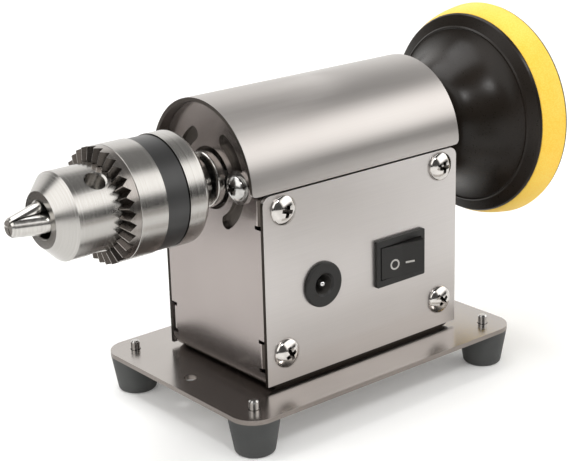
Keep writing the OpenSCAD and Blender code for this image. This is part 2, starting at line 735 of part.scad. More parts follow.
// Round power inlet with a threaded barrel through the panel
module dc_jack_body() color("#26282a") placed() on_front_panel(inlet_x, inlet_height) difference() {
    union() {
        rotate_extrude() polygon(concat([[0, 0], [inlet_flange_d / 2, 0]],
            arc(inlet_flange_d / 2 - 0.6, inlet_flange_t - 0.6, 0.6, 0, 90, 4), [[0, inlet_flange_t]]));
        translate([0, 0, -inlet_l]) cylinder(r = inlet_barrel_d / 2, h = inlet_l + eps);
    }
    translate([0, 0, inlet_flange_t - socket_l]) cylinder(r = socket_d / 2, h = socket_l + eps);
    translate([0, 0, inlet_flange_t - 0.6]) cylinder(r1 = socket_d / 2, r2 = socket_d / 2 + 0.9, h = 0.9);
}
// Contact pin in the middle of the inlet
module dc_jack_pin() color("#e8e8e8") placed() on_front_panel(inlet_x, inlet_height) {
    reach = socket_l - 0.5 - pin_d / 2;
    translate([0, 0, inlet_flange_t - socket_l]) cylinder(r = pin_d / 2, h = reach);
    translate([0, 0, inlet_flange_t - socket_l + reach]) sphere(pin_d / 2);
}
module dc_jack_nut() color("#b0b2b4") placed() on_front_panel(inlet_x, inlet_height)
    translate([0, 0, -panel_t - 2.5]) hex_nut(inlet_barrel_d + 3, inlet_barrel_d + 2 * fit, 2.5);
module dc_jack_contacts() color("#c8a24c") placed() on_front_panel(inlet_x, inlet_height)
    for (sx = [-1, 1]) translate([sx * 3 - 1.2, -lug_t / 2, -inlet_l - 5]) cube([2.4, lug_t, 5]);

// Switch housing that snaps into the panel
module switch_body() color("#202224") placed() on_front_panel(switch_x, switch_height) difference() {
    union() {
        linear_extrude(bezel_t) round_rect(bezel_l, bezel_h, 0.5);
        translate([-switch_body_l / 2, -switch_body_h / 2, -switch_depth])
            cube([switch_body_l, switch_body_h, switch_depth + eps]);
        for (side = [0, 1]) mirror([side, 0, 0]) translate([switch_body_l / 2, 3, -panel_t - 4])
            rotate([90, 0, 0]) linear_extrude(6) polygon([[0, 0], [0.8, 3.9], [0, 3.9]]);
    }
    translate([-switch_half_l, -switch_half_h, pivot_z - rocker_r])
        cube([2 * switch_half_l, 2 * switch_half_h, switch_depth + rocker_r]);
    translate([0, 0, pivot_z]) rotate([90, 0, 0])
        cylinder(r = rocker_pin_d / 2 + fit, h = 2 * switch_half_h + 1.6, center = true);
}
// Rocker at rest with its O side in: it turns about its two pins
module switch_rocker() color("#2a2c2e") placed() on_front_panel(switch_x, switch_height)
    translate([0, 0, pivot_z]) rotate([0, -rocker_tilt, 0]) {
        rise = rocker_r * tan(rocker_slope);
        rotate([90, 0, 0]) linear_extrude(rocker_h, center = true) intersection() {
            circle(rocker_r);
            polygon([[-rocker_r, rocker_crown + rise], [-rocker_r, 1.5 - rocker_r / 2],
                [rocker_r, 1.5 - rocker_r / 2], [rocker_r, rocker_crown + rise], [0, rocker_crown]]);
        }
        rotate([90, 0, 0]) cylinder(r = rocker_pin_d / 2, h = 2 * switch_half_h + 1.2, center = true);
    }
module switch_terminals() color("#c8a24c") placed() on_front_panel(switch_x, switch_height)
    for (sx = [-1, 1]) translate([sx * 5 - 2.4, -lug_t / 2, -switch_depth - 7]) cube([4.8, lug_t, 7]);

// Insulated wires inside the housing, swept along routes chosen by hand
wire_d = 1.8;
wire_sides = 8;
lead_y = -panel_face + switch_depth + 7;
jack_y = -panel_face + inlet_l + 5;
under_motor = axis_z - motor_d / 2 - 3;
route_jack_switch = [
    [inlet_x + 3, jack_y, inlet_height], [inlet_x + 3, jack_y + 3, inlet_height],
    [inlet_x + 8, jack_y + 6, inlet_height - 1], [switch_x - 14, lead_y + 6, switch_height - 2],
    [switch_x - 5, lead_y + 3, switch_height], [switch_x - 5, lead_y, switch_height]];
route_switch_motor = [
    [switch_x + 5, lead_y, switch_height], [switch_x + 5, lead_y + 3, switch_height],
    [switch_x + 10, lead_y + 4, switch_height + 2], [lead_x - 4, 3 - terminal_y, under_motor - 2],
    [lead_x, -terminal_y, under_motor + 3], [lead_x, -terminal_y, terminal_z - 3],
    [lead_x, -terminal_y, terminal_z - lug_t / 2]];
route_jack_motor = [
    [inlet_x - 3, jack_y, inlet_height], [inlet_x - 3, jack_y + 3, inlet_height],
    [inlet_x + 2, 8, inlet_height - 3], [switch_x, 11, inlet_height],
    [lead_x - 7, terminal_y, under_motor - 3], [lead_x, terminal_y, under_motor + 3],
    [lead_x, terminal_y, terminal_z - 3], [lead_x, terminal_y, terminal_z - lug_t / 2]];
// Smooth points through a route, with its first and last leg left straight
function spline(p, i, t) = let (a = p[i - 1], b = p[i], c = p[i + 1], d = p[i + 2])
    0.5 * (2 * b + (c - a) * t + (2 * a - 5 * b + 4 * c - d) * t * t + (3 * b - a - 3 * c + d) * t * t * t);
function smooth(p, n) = concat([p[0]],
    [for (i = [1:len(p) - 3], k = [0:n - 1]) spline(p, i, k / n)], [p[len(p) - 2], p[len(p) - 1]]);
function unit(v) = v / norm(v);
function direction(p, i) = unit(p[min(i + 1, len(p) - 1)] - p[max(i - 1, 0)]);
module wire(route) {
    path = smooth(route, 4);
    guide = [0.31, 0.27, 0.91];
    rings = [for (i = [0:len(path) - 1])
        let (d = direction(path, i), u = unit(cross(d, guide)), v = cross(u, d))
        [for (k = [0:wire_sides - 1]) let (a = 360 * k / wire_sides)
            path[i] + wire_d / 2 * (cos(a) * u + sin(a) * v)]];
    count = len(path);
    polyhedron(
        points = [for (r = rings) each r],
        faces = concat(
            [[for (k = [wire_sides - 1:-1:0]) k]],
            [[for (k = [0:wire_sides - 1]) (count - 1) * wire_sides + k]],
            [for (i = [0:count - 2], k = [0:wire_sides - 1]) let (n = (k + 1) % wire_sides)
                [i * wire_sides + k, i * wire_sides + n, (i + 1) * wire_sides + n]],
            [for (i = [0:count - 2], k = [0:wire_sides - 1]) let (n = (k + 1) % wire_sides)
                [i * wire_sides + k, (i + 1) * wire_sides + n, (i + 1) * wire_sides + k]]));
}
module wire_jack_to_switch() color("#a02020") placed() wire(route_jack_switch);
module wire_switch_to_motor() color("#a02020") placed() wire(route_switch_motor);
module wire_jack_to_motor() color("#202020") placed() wire(route_jack_motor);

// Shaft through the motor, driven at both ends
module motor_shaft() color("#d5d7d9") at_axis() turned([
    [0, shaft_front], [shaft_d / 2 - 0.4, shaft_front], [shaft_d / 2, shaft_front + 0.4],
    [shaft_d / 2, shaft_rear - 0.4], [shaft_d / 2 - 0.4, shaft_rear], [0, shaft_rear]]);
// Slotted iron core
module slots(width, outer_r, inner_r) for (i = [0:core_slots - 1]) rotate(360 * i / core_slots)
    translate([inner_r, -width / 2]) square([outer_r - inner_r, width]);
module armature_core() color("#7c7f82") at_axis() along_x(core_front, core_l) difference() {
    circle(core_d / 2);
    circle(shaft_d / 2 + seat);
    slots(2.6, coil_r, 8);
    slots(1.2, core_d / 2 + 1, coil_r - 0.5);
}
// Copper coils: a bundle in each slot and a crown at each end
module armature_windings() color("#b5642c") at_axis() {
    crown_l = 5.4;
    along_x(core_front - 0.6, core_l + 1.2) slots(2.5, coil_r - 0.1, 8.1);
    for (x = [core_front - crown_l - 0.2, core_rear + 0.2]) turned([
        [6, x + 0.8], [7.5, x], [coil_r - 2, x], [coil_r - 0.1, x + 2.2], [coil_r - 0.1, x + crown_l],
        [6, x + crown_l]]);
}
module commutator() color("#c07a3c") at_axis() ring(commutator_front, commutator_rear - commutator_front,
    commutator_d / 2, shaft_d / 2 + seat);

// Sleeve on the shaft with the chuck's taper
chuck_collar_rear = -boss_out - 1.1;
chuck_collar_front = chuck_rear + 0.6;
set_screw_x = (chuck_collar_rear + chuck_collar_front) / 2;
module chuck_adapter() color("#8f9294") at_axis() difference() {
    turned([
        [0, chuck_rear - taper_l], [taper_d / 2 - seat - taper_l * taper_slope, chuck_rear - taper_l],
        [taper_d / 2 - seat, chuck_collar_front], [collar_d / 2 - 0.5, chuck_collar_front],
        [collar_d / 2, chuck_collar_front + 0.5], [collar_d / 2, chuck_collar_rear - 0.5],
        [collar_d / 2 - 0.5, chuck_collar_rear], [0, chuck_collar_rear]]);
    rod(shaft_front - 0.5, chuck_collar_rear - shaft_front + eps + 0.5, shaft_d / 2 + seat);
    set_screw_holes(set_screw_x);
}
// Two radial holes for set screws
module set_screw_holes(x) translate([x, 0, 0]) cylinder(r = set_screw_d / 2 + seat, h = 30, center = true);
// Two set screws that bear on the shaft, with hexagon sockets
module set_screws(x, outer_r) for (side = [0, 1]) mirror([0, 0, side]) translate([x, 0, shaft_d / 2 + seat])
    difference() {
        cylinder(r = set_screw_d / 2, h = outer_r - shaft_d / 2 - 0.7);
        translate([0, 0, outer_r - shaft_d / 2 - 2.4]) cylinder(r = set_screw_d * 0.28, h = 5, $fn = 6);
    }
module chuck_set_screws() color("#3a3a3c") at_axis() set_screws(set_screw_x, collar_d / 2);

// Chuck body with three leaning jaw bores, a taper socket and key holes
module jaw_rod(r, x_from, x_to) translate([jaw_apex, 0, 0]) rotate([0, 0, jaw_tilt])
    rod((x_from - jaw_apex) / cos(jaw_tilt), (x_to - x_from) / cos(jaw_tilt), r);
module chuck_body() color("#c6c6c4") at_axis() difference() {
    turned(concat(
        [[taper_d / 2, chuck_rear]],
        arc(sleeve_r - collar_edge, chuck_rear - collar_edge, collar_edge, 90, 0, 6),
        [[sleeve_r, collar_front], [body_r, collar_front], [body_r, nut_rear + run]],
        [[groove_r, nut_rear + run], [groove_r, nut_front - run], [body_r, nut_front - run]],
        [[body_r, cone_rear], [nose_d / 2, nose], [mouth_d / 2 + 0.3, nose], [mouth_d / 2, nose + 0.3]],
        [[mouth_d / 2, grip_bore_end], [0, grip_bore_end + 2.5], [0, socket_end]],
        [[taper_d / 2 - (taper_l + 1) * taper_slope, socket_end]]));
    for (a = jaw_angles) rotate([a, 0, 0]) jaw_rod(jaw_r + fit, nose - 3, jaw_bore_rear);
    for (a = key_angles) rotate([a, 0, 0]) translate([key_x, body_r - key_hole_depth, 0])
        rotate([-90, 0, 0]) {
            cylinder(r = key_hole_d / 2, h = key_hole_depth + eps);
            translate([0, 0, key_hole_depth - key_hole_edge])
                cylinder(r1 = key_hole_d / 2, r2 = key_hole_d / 2 + 2 * key_hole_edge,
                    h = 2 * key_hole_edge);
        }
}

// Sleeve with a bevel gear on its front edge: one V cut for each tooth space
module tooth_space() {
    rim_root = [sleeve_r, gear_rim + tooth_depth];
    inner_r = body_r + bevel_land;
    inner_root = [inner_r, sleeve_front + tooth_depth * inner_r / sleeve_r];
    lean = atan2(rim_root[1] - inner_root[1], rim_root[0] - inner_root[0]);
    reach = 4 * tooth_depth;
    side = reach * tan(tooth_angle);
    translate([inner_root[1], inner_root[0], 0]) rotate([0, 0, -lean]) translate([0, -tooth_depth, 0])
        rotate([-90, 0, 0]) linear_extrude(sleeve_r) polygon([[0, 0], [-reach, side], [-reach, -side]]);
}
module chuck_sleeve() color("#bdbdbb") at_axis() difference() {
    bore_r = body_r + 0.15;
    turned([
        [bore_r, sleeve_front], [body_r + bevel_land, sleeve_front], [sleeve_r, gear_rim],
        [sleeve_r, gear_end - 0.15], [sleeve_r - 0.2, gear_end], [sleeve_r, gear_end + 0.15],
        [sleeve_r, band_front],
        [band_seat_r, band_front], [band_seat_r, sleeve_rear], [pocket_r, sleeve_rear],
        [pocket_r, nut_front - 0.05], [bore_r, nut_front - 0.05]]);
    for (i = [0:gear_teeth - 1]) rotate([gear_turn + 360 * i / gear_teeth, 0, 0]) tooth_space();
}
// Dark band pressed on the sleeve for grip
module chuck_grip_band() color("#3f4143") at_axis() ring(band_front + 0.1, band_l - 0.1,
    sleeve_r - band_drop, band_seat_r + seat);
// Split nut whose thread drives the jaws, cut in two halves
module chuck_nut() color("#8a8a86") at_axis() difference() {
    steps = 5;
    turned(concat(
        [[pocket_r - seat, nut_front], [pocket_r - seat, nut_rear]],
        [for (i = [steps:-1:0], side = [0, 1]) let (x = nut_front + nut_ring_l * i / steps)
            [jaw_out(x) + run + 0.5 * side, x]]));
    translate([nut_front - eps, -0.15, -sleeve_r]) cube([nut_ring_l + 2 * eps, 0.3, 2 * sleeve_r]);
}

// Round jaw, cut to a third of a turn inside and toothed on its back
module jaw(a) color("#b9bab8") at_axis() rotate([a, 0, 0]) difference() {
    intersection() {
        jaw_rod(jaw_r, tip - 3, jaw_rear);
        along_x(tip - eps, jaw_rear - tip + 3) polygon([
            [jaw_gap, jaw_gap * 0.3], [12, 12 * tan(60) - 0.5], [40, 0], [12, 0.5 - 12 * tan(60)],
            [jaw_gap, -jaw_gap * 0.3]]);
        turned([[0, tip], [jaw_tip_r - 0.45, tip], [jaw_tip_r + 0.3, tip + 0.75], [sleeve_r, tip + 20],
            [sleeve_r, jaw_rear + 3], [0, jaw_rear + 3]]);
    }
    for (i = [0:jaw_teeth - 1]) translate([jaw_apex, 0, 0]) rotate([0, 0, jaw_tilt])
        translate([(jaw_rear - jaw_apex) / cos(jaw_tilt) - jaw_pitch * (i + 0.7), jaw_r - 0.7, -jaw_d])
            linear_extrude(2 * jaw_d) polygon([[0, 0], [0.8, 1.5], [-0.8, 1.5]]);
}
module jaw_1() jaw(jaw_angles[0]);
module jaw_2() jaw(jaw_angles[1]);
module jaw_3() jaw(jaw_angles[2]);

// Sleeve on the shaft with the pad's thread
pad_set_x = pad_collar_front + pad_collar_l / 2;
pad_stud_end = pad_collar_front + pad_collar_l + pad_stud_l;
module pad_adapter() color("#8f9294") at_axis() difference() {
    turned([
        [0, pad_collar_front], [collar_d / 2 - 0.5, pad_collar_front],
        [collar_d / 2, pad_collar_front + 0.5],
        [collar_d / 2, pad_collar_front + pad_collar_l - 0.5],
        [collar_d / 2 - 0.5, pad_collar_front + pad_collar_l],
        [pad_stud_d / 2, pad_collar_front + pad_collar_l], [pad_stud_d / 2, pad_stud_end - 1],
        [pad_stud_d / 2 - 1, pad_stud_end], [0, pad_stud_end]]);
    rod(pad_collar_front - eps, shaft_rear - pad_collar_front + eps + 0.5, shaft_d / 2 + seat);
    set_screw_holes(pad_set_x);
}
module pad_set_screws() color("#3a3a3c") at_axis() set_screws(pad_set_x, collar_d / 2);
// Steel nut moulded into the backing
insert_x = hub_face + 1.8;
module pad_insert() color("#a8aaac") at_axis() translate([insert_x, 0, 0]) rotate([0, 90, 0])
    hex_nut(insert_af, pad_stud_d + 2 * fit, insert_l);
// Moulded backing: hub, flared dome, fine ridge and flat rim
module pad_backing() color("#2a2827") at_axis() difference() {
    ridge_x = foam_rear - 2.6;
    turned(concat(
        [[pad_stud_d / 2 + 0.5, hub_face]],
        curve([hub_d / 2 - 0.5, hub_face], [hub_d / 2 + 9.5, hub_face],
            [ridge_d / 2 - 10.5, ridge_x - 4.6], [ridge_d / 2, ridge_x], 12),
        [[ridge_d / 2 + 0.5, ridge_x - 0.2], [ridge_d / 2 + 1, ridge_x + 0.3]],
        [[backing_d / 2 - 0.5, foam_rear - 0.8], [backing_d / 2, foam_rear - 0.3]],
        [[backing_d / 2, foam_rear]],
        [[0, foam_rear], [0, pad_stud_end + 0.5], [pad_stud_d / 2 + 0.5, pad_stud_end + 0.5]]));
    translate([insert_x - seat, 0, 0]) rotate([0, 90, 0])
        cylinder(r = insert_af / sqrt(3) + seat, h = insert_l + 2 * seat, $fn = 6);
}
// Foam disc that flares slightly towards its face
module pad_foam() color("#f5cf3f") at_axis() turned([
    [0, foam_rear], [backing_d / 2 + 0.2, foam_rear], [backing_d / 2 + 0.9, foam_rear + 1.2],
    [pad_d / 2 - 0.3, foam_rear + foam_t * 0.55], [pad_d / 2, hook_rear - 0.3], [pad_d / 2 - 0.2, hook_rear],
    [0, hook_rear]]);
// Hook layer that abrasive discs grip
module pad_hook_face() color("#6a6456") at_axis() rod(hook_rear, hook_t, pad_d / 2 - 0.2);

base_plate();
foot_front_chuck_end();
foot_front_pad_end();
foot_back_chuck_end();
foot_back_pad_end();
foot_screws();
foot_washers();
motor_frame();
frame_screws();
frame_nuts();
front_side_panel();
back_side_panel();
front_panel_screws();
back_panel_screws();
top_cover();
motor_can();
motor_end_cap();
motor_magnets();
front_bearing();
rear_bearing();
brush_holders();
carbon_brushes();
motor_terminals();
motor_screws();
motor_washers();
dc_jack_body();
dc_jack_pin();
dc_jack_nut();
dc_jack_contacts();
switch_body();
switch_terminals();
wire_jack_to_switch();
wire_switch_to_motor();
wire_jack_to_motor();
motor_shaft();
armature_core();
armature_windings();
commutator();
chuck_adapter();
chuck_set_screws();
chuck_body();
pad_adapter();
pad_set_screws();
pad_insert();
pad_backing();
pad_foam();
pad_hook_face();
chuck_sleeve();
chuck_grip_band();
chuck_nut();
jaw_1();
jaw_2();
jaw_3();
switch_rocker();
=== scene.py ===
"""Bench buffer: the visual model of a small polishing motor with a keyed chuck and a foam pad.

Sizes are millimetres. Along the spindle they count from the front plate's outer face, and upwards
from the bench. place() turns them into the frame's metres.
"""

import math

import bmesh
import bpy
from mathutils import Matrix, Vector
from mathutils.bvhtree import BVHTree
from mathutils.geometry import interpolate_bezier


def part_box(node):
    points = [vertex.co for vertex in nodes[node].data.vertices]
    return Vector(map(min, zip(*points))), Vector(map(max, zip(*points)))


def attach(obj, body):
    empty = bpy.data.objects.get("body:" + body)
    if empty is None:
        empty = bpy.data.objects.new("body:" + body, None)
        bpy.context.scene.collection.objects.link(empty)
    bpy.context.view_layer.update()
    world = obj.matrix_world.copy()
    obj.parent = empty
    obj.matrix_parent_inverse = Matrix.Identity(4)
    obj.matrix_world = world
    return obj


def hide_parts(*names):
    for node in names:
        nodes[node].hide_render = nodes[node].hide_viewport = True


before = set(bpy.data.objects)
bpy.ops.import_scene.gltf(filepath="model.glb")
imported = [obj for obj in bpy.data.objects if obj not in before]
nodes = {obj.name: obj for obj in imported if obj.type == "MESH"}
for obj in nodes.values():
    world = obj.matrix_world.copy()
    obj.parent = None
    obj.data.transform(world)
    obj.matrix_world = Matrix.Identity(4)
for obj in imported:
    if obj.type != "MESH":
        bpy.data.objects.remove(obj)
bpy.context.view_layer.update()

MM = 0.001
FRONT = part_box("motor_frame")[0].x
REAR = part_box("motor_frame")[1].x
AXIS = (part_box("pad_foam")[0].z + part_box("pad_foam")[1].z) / 2
SPINDLE = Matrix.Translation((FRONT, 0, AXIS))

# Degrees between two faces above which their edge stays sharp, on a modelled piece and on a node
SHARP = 35
NODE_SHARP = 32
# Degrees between two facets of a node below which they are one flat face
FLAT = 0.5


# Shapes


def place(x, y, z):
    """A point given in millimetres from the front plate, the middle line and the bench."""
    return Vector((FRONT + x * MM, y * MM, z * MM))


def span_x(name):
    """Where a node starts and ends along the spindle, in millimetres from the front plate."""
    low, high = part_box(name)
    return (low.x - FRONT) / MM, (high.x - FRONT) / MM


def radius_of(name):
    """Half a turned node's width, in millimetres."""
    low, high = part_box(name)
    return (high.y - low.y) / 2 / MM


def rounded(corners, steps=4):
    """The outline with each (x, r, radius) corner turned into an arc. Two numbers mean a sharp corner."""
    last = len(corners) - 1
    is_open = Vector(corners[0][:2]) != Vector(corners[-1][:2])
    out = []
    for i, corner in enumerate(corners):
        here = Vector(corner[:2])
        radius = corner[2] if len(corner) > 2 else 0
        if not radius or (is_open and i in (0, last)):
            out.append(here)
            continue
        before, after = Vector(corners[i - 1][:2]), Vector(corners[(i + 1) % len(corners)][:2])
        a, b = (before - here).normalized(), (after - here).normalized()
        half = math.acos(max(-1, min(1, a.dot(b)))) / 2
        # An arc takes less than half of each side, so that the next corner's arc has room
        room = min((before - here).length, (after - here).length) * 0.49
        back = min(radius / math.tan(half), room)
        middle = here + (a + b).normalized() * math.hypot(back, back * math.tan(half))
        start, end = here + a * back - middle, here + b * back - middle
        turn = start.angle_signed(end)
        for k in range(steps + 1):
            out.append(middle + Matrix.Rotation(-turn * k / steps, 2) @ start)
    return [tuple(p) for p in out]


def shaded(mesh, sharp=SHARP):
    """Smooth faces, with sharp edges where two of them meet at more than an angle."""
    mesh.polygons.foreach_set("use_smooth", [True] * len(mesh.polygons))
    mesh.set_sharp_from_angle(angle=math.radians(sharp))


def finished(name, bm, finish, sharp=SHARP):
    """Makes the mesh an object with its finish."""
    bmesh.ops.recalc_face_normals(bm, faces=bm.faces)
    mesh = bpy.data.meshes.new(name)
    bm.to_mesh(mesh)
    bm.free()
    shaded(mesh, sharp)
    mesh.materials.append(finish)
    made = bpy.data.objects.new(name, mesh)
    bpy.context.scene.collection.objects.link(made)
    return made


def fitted(made, body, stands_for):
    """Puts a finished piece on its body, in place of a node of the frame."""
    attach(made, body)
    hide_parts(stands_for)


def lathe(bm, outline, matrix, steps):
    """Turns an outline of (x, r) points about the matrix's X axis. Points on the axis close the ends."""
    turns = [math.tau * k / steps for k in range(steps)]
    rings = []
    for x, r in outline:
        on_axis = r < 1e-6
        ring = [(0, 0)] if on_axis else [(r * math.cos(a), r * math.sin(a)) for a in turns]
        rings.append([bm.verts.new(matrix @ (Vector((x, y, z)) * MM)) for y, z in ring])
    loops = list(zip(rings, rings[1:]))
    if len(rings[0]) > 1 and len(rings[-1]) > 1:
        loops.append((rings[-1], rings[0]))
    for a, b in loops:
        for k in range(steps):
            n = (k + 1) % steps
            if len(a) == 1:
                bm.faces.new((a[0], b[k], b[n]))
            elif len(b) == 1:
                bm.faces.new((a[n], a[k], b[0]))
            else:
                bm.faces.new((a[n], a[k], b[k], b[n]))


def turned(name, outline, finish, steps):
    """A piece turned about the spindle."""
    bm = bmesh.new()
    lathe(bm, rounded(outline), SPINDLE, steps)
    return finished(name, bm, finish)


def carved(made, *cutters):
    """Cuts each cutter out of a piece, fixes the cuts into its mesh and deletes the cutters."""
    for cutter in cutters:
        cut = made.modifiers.new("cut", "BOOLEAN")
        cut.operation = "DIFFERENCE"
        cut.solver = "EXACT"
        cut.material_mode = "TRANSFER"
        cut.object = cutter
    graph = bpy.context.evaluated_depsgraph_get()
    mesh = bpy.data.meshes.new_from_object(made.evaluated_get(graph))
    made.modifiers.clear()
    made.data = mesh
    shaded(mesh)
    for cutter in cutters:
        bpy.data.objects.remove(cutter)


def softened(made, width, angle=40, steps=2):
    """Breaks a piece's sharp edges by a width in millimetres, as deburring does. Returns the bevel."""
    edge = made.modifiers.new("edges", "BEVEL")
    edge.width = width * MM
    edge.segments = steps
    edge.limit_method = "ANGLE"
    edge.angle_limit = math.radians(angle)
    normals = made.modifiers.new("normals", "WEIGHTED_NORMAL")
    normals.keep_sharp = True
    return edge


def dressed(name, finish, edge):
    """Gives a node of the frame its finish, smooth faces and edges broken by some millimetres."""
    node = nodes[name]
    node.data.materials.clear()
    node.data.materials.append(finish)
    shaded(node.data, NODE_SHARP)
    if edge:
        flat = node.modifiers.new("flats", "DECIMATE")
        flat.decimate_type = "DISSOLVE"
        flat.angle_limit = math.radians(FLAT)
        softened(node, edge)


# Finishes

# The colour sockets of a mix share their names with others, so they are counted
MIX_FACTOR, MIX_FROM, MIX_TO, MIX_RESULT = 0, 6, 7, 2
# The range of a noise that a pattern uses: a wide one for grain, a narrow one for soft patches
NOISE = (0.3, 0.7)
CLOUD = (0.35, 0.65)
# The same for two noises added up
BOTH = (0.7, 1.3)


def linear(code):
    """An sRGB hex colour as linear values."""
    parts = [int(code[i:i + 2], 16) / 255 for i in (1, 3, 5)]
    return tuple(c / 12.92 if c <= 0.04045 else ((c + 0.055) / 1.055) ** 2.4 for c in parts) + (1.0,)


def feed(node, inputs):
    """Fills a node's sockets, by name or in order, with values or with the sockets that feed them."""
    for key, value in inputs.items() if isinstance(inputs, dict) else enumerate(inputs):
        if isinstance(value, bpy.types.NodeSocket):
            node.id_data.links.new(value, node.inputs[key])
        else:
            node.inputs[key].default_value = value


def add(tree, kind, inputs=(), **settings):
    """Adds a shader node with its settings and what feeds its sockets, and returns its outputs."""
    made = tree.nodes.new("ShaderNode" + kind)
    for key, value in settings.items():
        setattr(made, key, value)
    feed(made, inputs)
    return made.outputs


def surface(name, sockets):
    """A new material with values on its shader's own sockets, its nodes and its shader."""
    made = bpy.data.materials.new(name)
    made.use_nodes = True
    shader = made.node_tree.nodes["Principled BSDF"]
    feed(shader, sockets)
    return made, made.node_tree, shader


def per_metre(size):
    """A pattern's scale from the real size of one of its features, in millimetres."""
    return 1 / (size * MM)


def patterned(shader, light, dark, tone, wear=None, relief=None):
    """Feeds a shader its patterns. Over a pattern's range, tone (pattern, low, high) goes from dark to
    light and wear (pattern, low, high, rough_low, rough_high) from one roughness to another, and
    relief (pattern, depth, strength) raises it by a depth in millimetres."""
    tree = shader.id_data
    share = add(tree, "MapRange", tone)[0]
    shades = {MIX_FACTOR: share, MIX_FROM: linear(dark), MIX_TO: linear(light)}
    feed(shader, {"Base Color": add(tree, "Mix", shades, data_type="RGBA")[MIX_RESULT]})
    if wear:
        feed(shader, {"Roughness": add(tree, "MapRange", wear)[0]})
    if relief:
        height, depth, strength = relief
        bump = {"Height": height, "Distance": depth * MM, "Strength": strength}
        feed(shader, {"Normal": add(tree, "Bump", bump)[0]})


def brushed_steel(name, light, dark, rough, streak=(33, 0.385, 0.385), patch=36, depth=0.004, grain=0.35):
    """Stainless sheet, brushed along X: streaks, in wide patches, that only stretch and soften reflections.
    The real streaks are ten times as fine, too fine to show."""
    made, tree, shader = surface(name, {"Metallic": 1.0, "Anisotropic": grain})
    here = add(tree, "TexCoord")["Object"]
    along = add(tree, "Mapping", {"Vector": here, "Scale": [per_metre(size) for size in streak]})[0]
    streaks = add(tree, "TexNoise", {"Vector": along, "Scale": 1.0, "Detail": 3.0, "Roughness": 0.6})[0]
    cloud = add(tree, "TexNoise", {"Vector": here, "Scale": per_metre(patch)})[0]
    both = add(tree, "Math", [streaks, cloud], operation="ADD")[0]
    patterned(shader, light, dark, (both, *BOTH), (streaks, *NOISE, rough * 0.93, rough * 1.1),
              (streaks, depth, 1.0))
    return made


def turned_steel(name, light, dark, rough, pitch=0.35, depth=0.004, grain=0.6):
    """Steel turned about the spindle: the tool's rings, a pitch apart, stretch each reflection lengthwise.
    A real tool leaves them finer, too fine to show."""
    made, tree, shader = surface(name, {"Metallic": 1.0, "Anisotropic": grain})
    x, y, z = add(tree, "SeparateXYZ", [add(tree, "TexCoord")["Object"]])
    up = add(tree, "Math", [z, AXIS], operation="SUBTRACT")[0]
    across = add(tree, "CombineXYZ", [y, up])[0]
    radius = add(tree, "VectorMath", [across], operation="LENGTH")["Value"]
    rings = add(tree, "CombineXYZ", [x, radius])[0]
    grooves = add(tree, "TexNoise", {"Vector": rings, "Scale": per_metre(pitch), "Roughness": 0.7})[0]
    patterned(shader, light, dark, (grooves, *NOISE), (grooves, *NOISE, rough * 0.8, rough * 1.25),
              (grooves, depth, 1.0))
    feed(shader, {"Tangent": add(tree, "Tangent", direction_type="RADIAL", axis="X")[0]})
    return made


def plated(name, light, dark, rough, patch=2.4):
    """Bright plating: nearly a mirror, with patches a few millimetres wide that are a little duller."""
    made, tree, shader = surface(name, {"Metallic": 1.0})
    here = add(tree, "TexCoord")["Object"]
    patches = add(tree, "TexNoise", {"Vector": here, "Scale": per_metre(patch), "Detail": 3.0})[0]
    patterned(shader, light, dark, (patches, *CLOUD), (patches, *NOISE, rough * 0.7, rough * 1.4))
    return made


def moulded(name, light, dark, rough, grit=0.5, patch=17, depth=0.01, specular=0.5):
    """Moulded rubber or plastic: the fine grain of an eroded mould, in features of grit millimetres."""
    made, tree, shader = surface(name, {"Specular IOR Level": specular})
    here = add(tree, "TexCoord")["Object"]
    fine = {"Vector": here, "Scale": per_metre(grit), "Detail": 3.0, "Roughness": 0.6}
    grain = add(tree, "TexNoise", fine)[0]
    cloud = add(tree, "TexNoise", {"Vector": here, "Scale": per_metre(patch)})[0]
    patterned(shader, light, dark, (cloud, *CLOUD), (grain, *NOISE, rough * 0.88, rough * 1.12),
              (grain, depth, 1.0))
    return made


def open_foam(name, light, dark, pore=0.53, patch=11):
    """Cut polyurethane foam: pores about half a millimetre wide speckle its soft dry surface."""
    made, tree, shader = surface(name, {
        "Specular IOR Level": 0.2, "Sheen Weight": 0.25, "Sheen Roughness": 0.5})
    here = add(tree, "TexCoord")["Object"]
    cells = {"Vector": here, "Scale": per_metre(pore), "Randomness": 1.0}
    pores = add(tree, "TexVoronoi", cells)["Distance"]
    cloud = add(tree, "TexNoise", {"Vector": here, "Scale": per_metre(patch), "Detail": 3.0})[0]
    open_pores = add(tree, "MapRange", [pores, 0.1, 0.7, 0.75, 0.0])[0]
    patches = add(tree, "MapRange", [cloud, *CLOUD, 0, 0.45])[0]
    tone = add(tree, "Math", [open_pores, patches], operation="ADD", use_clamp=True)[0]
    patterned(shader, light, dark, (tone, 0, 1), (pores, 0.1, 0.6, 0.95, 0.8), (pores, 0.03, 0.4))
    return made


def hook_cloth(name, light, dark, pitch=1.05, fibre=0.25):
    """The woven hook layer: rows of stiff hooks about 1 mm apart in a fuzzy ground."""
    made, tree, shader = surface(name, {"Specular IOR Level": 0.3})
    here = add(tree, "TexCoord")["Object"]
    rows = {"Vector": here, "Scale": per_metre(pitch), "Randomness": 0.35}
    hooks = add(tree, "TexVoronoi", rows)["Distance"]
    fuzz = add(tree, "TexNoise", {"Vector": here, "Scale": per_metre(fibre)})[0]
    patterned(shader, light, dark, (hooks, 0.1, 0.6, 1, 0), (fuzz, *NOISE, 0.7, 0.95), (hooks, 0.25, 0.8))
    return made


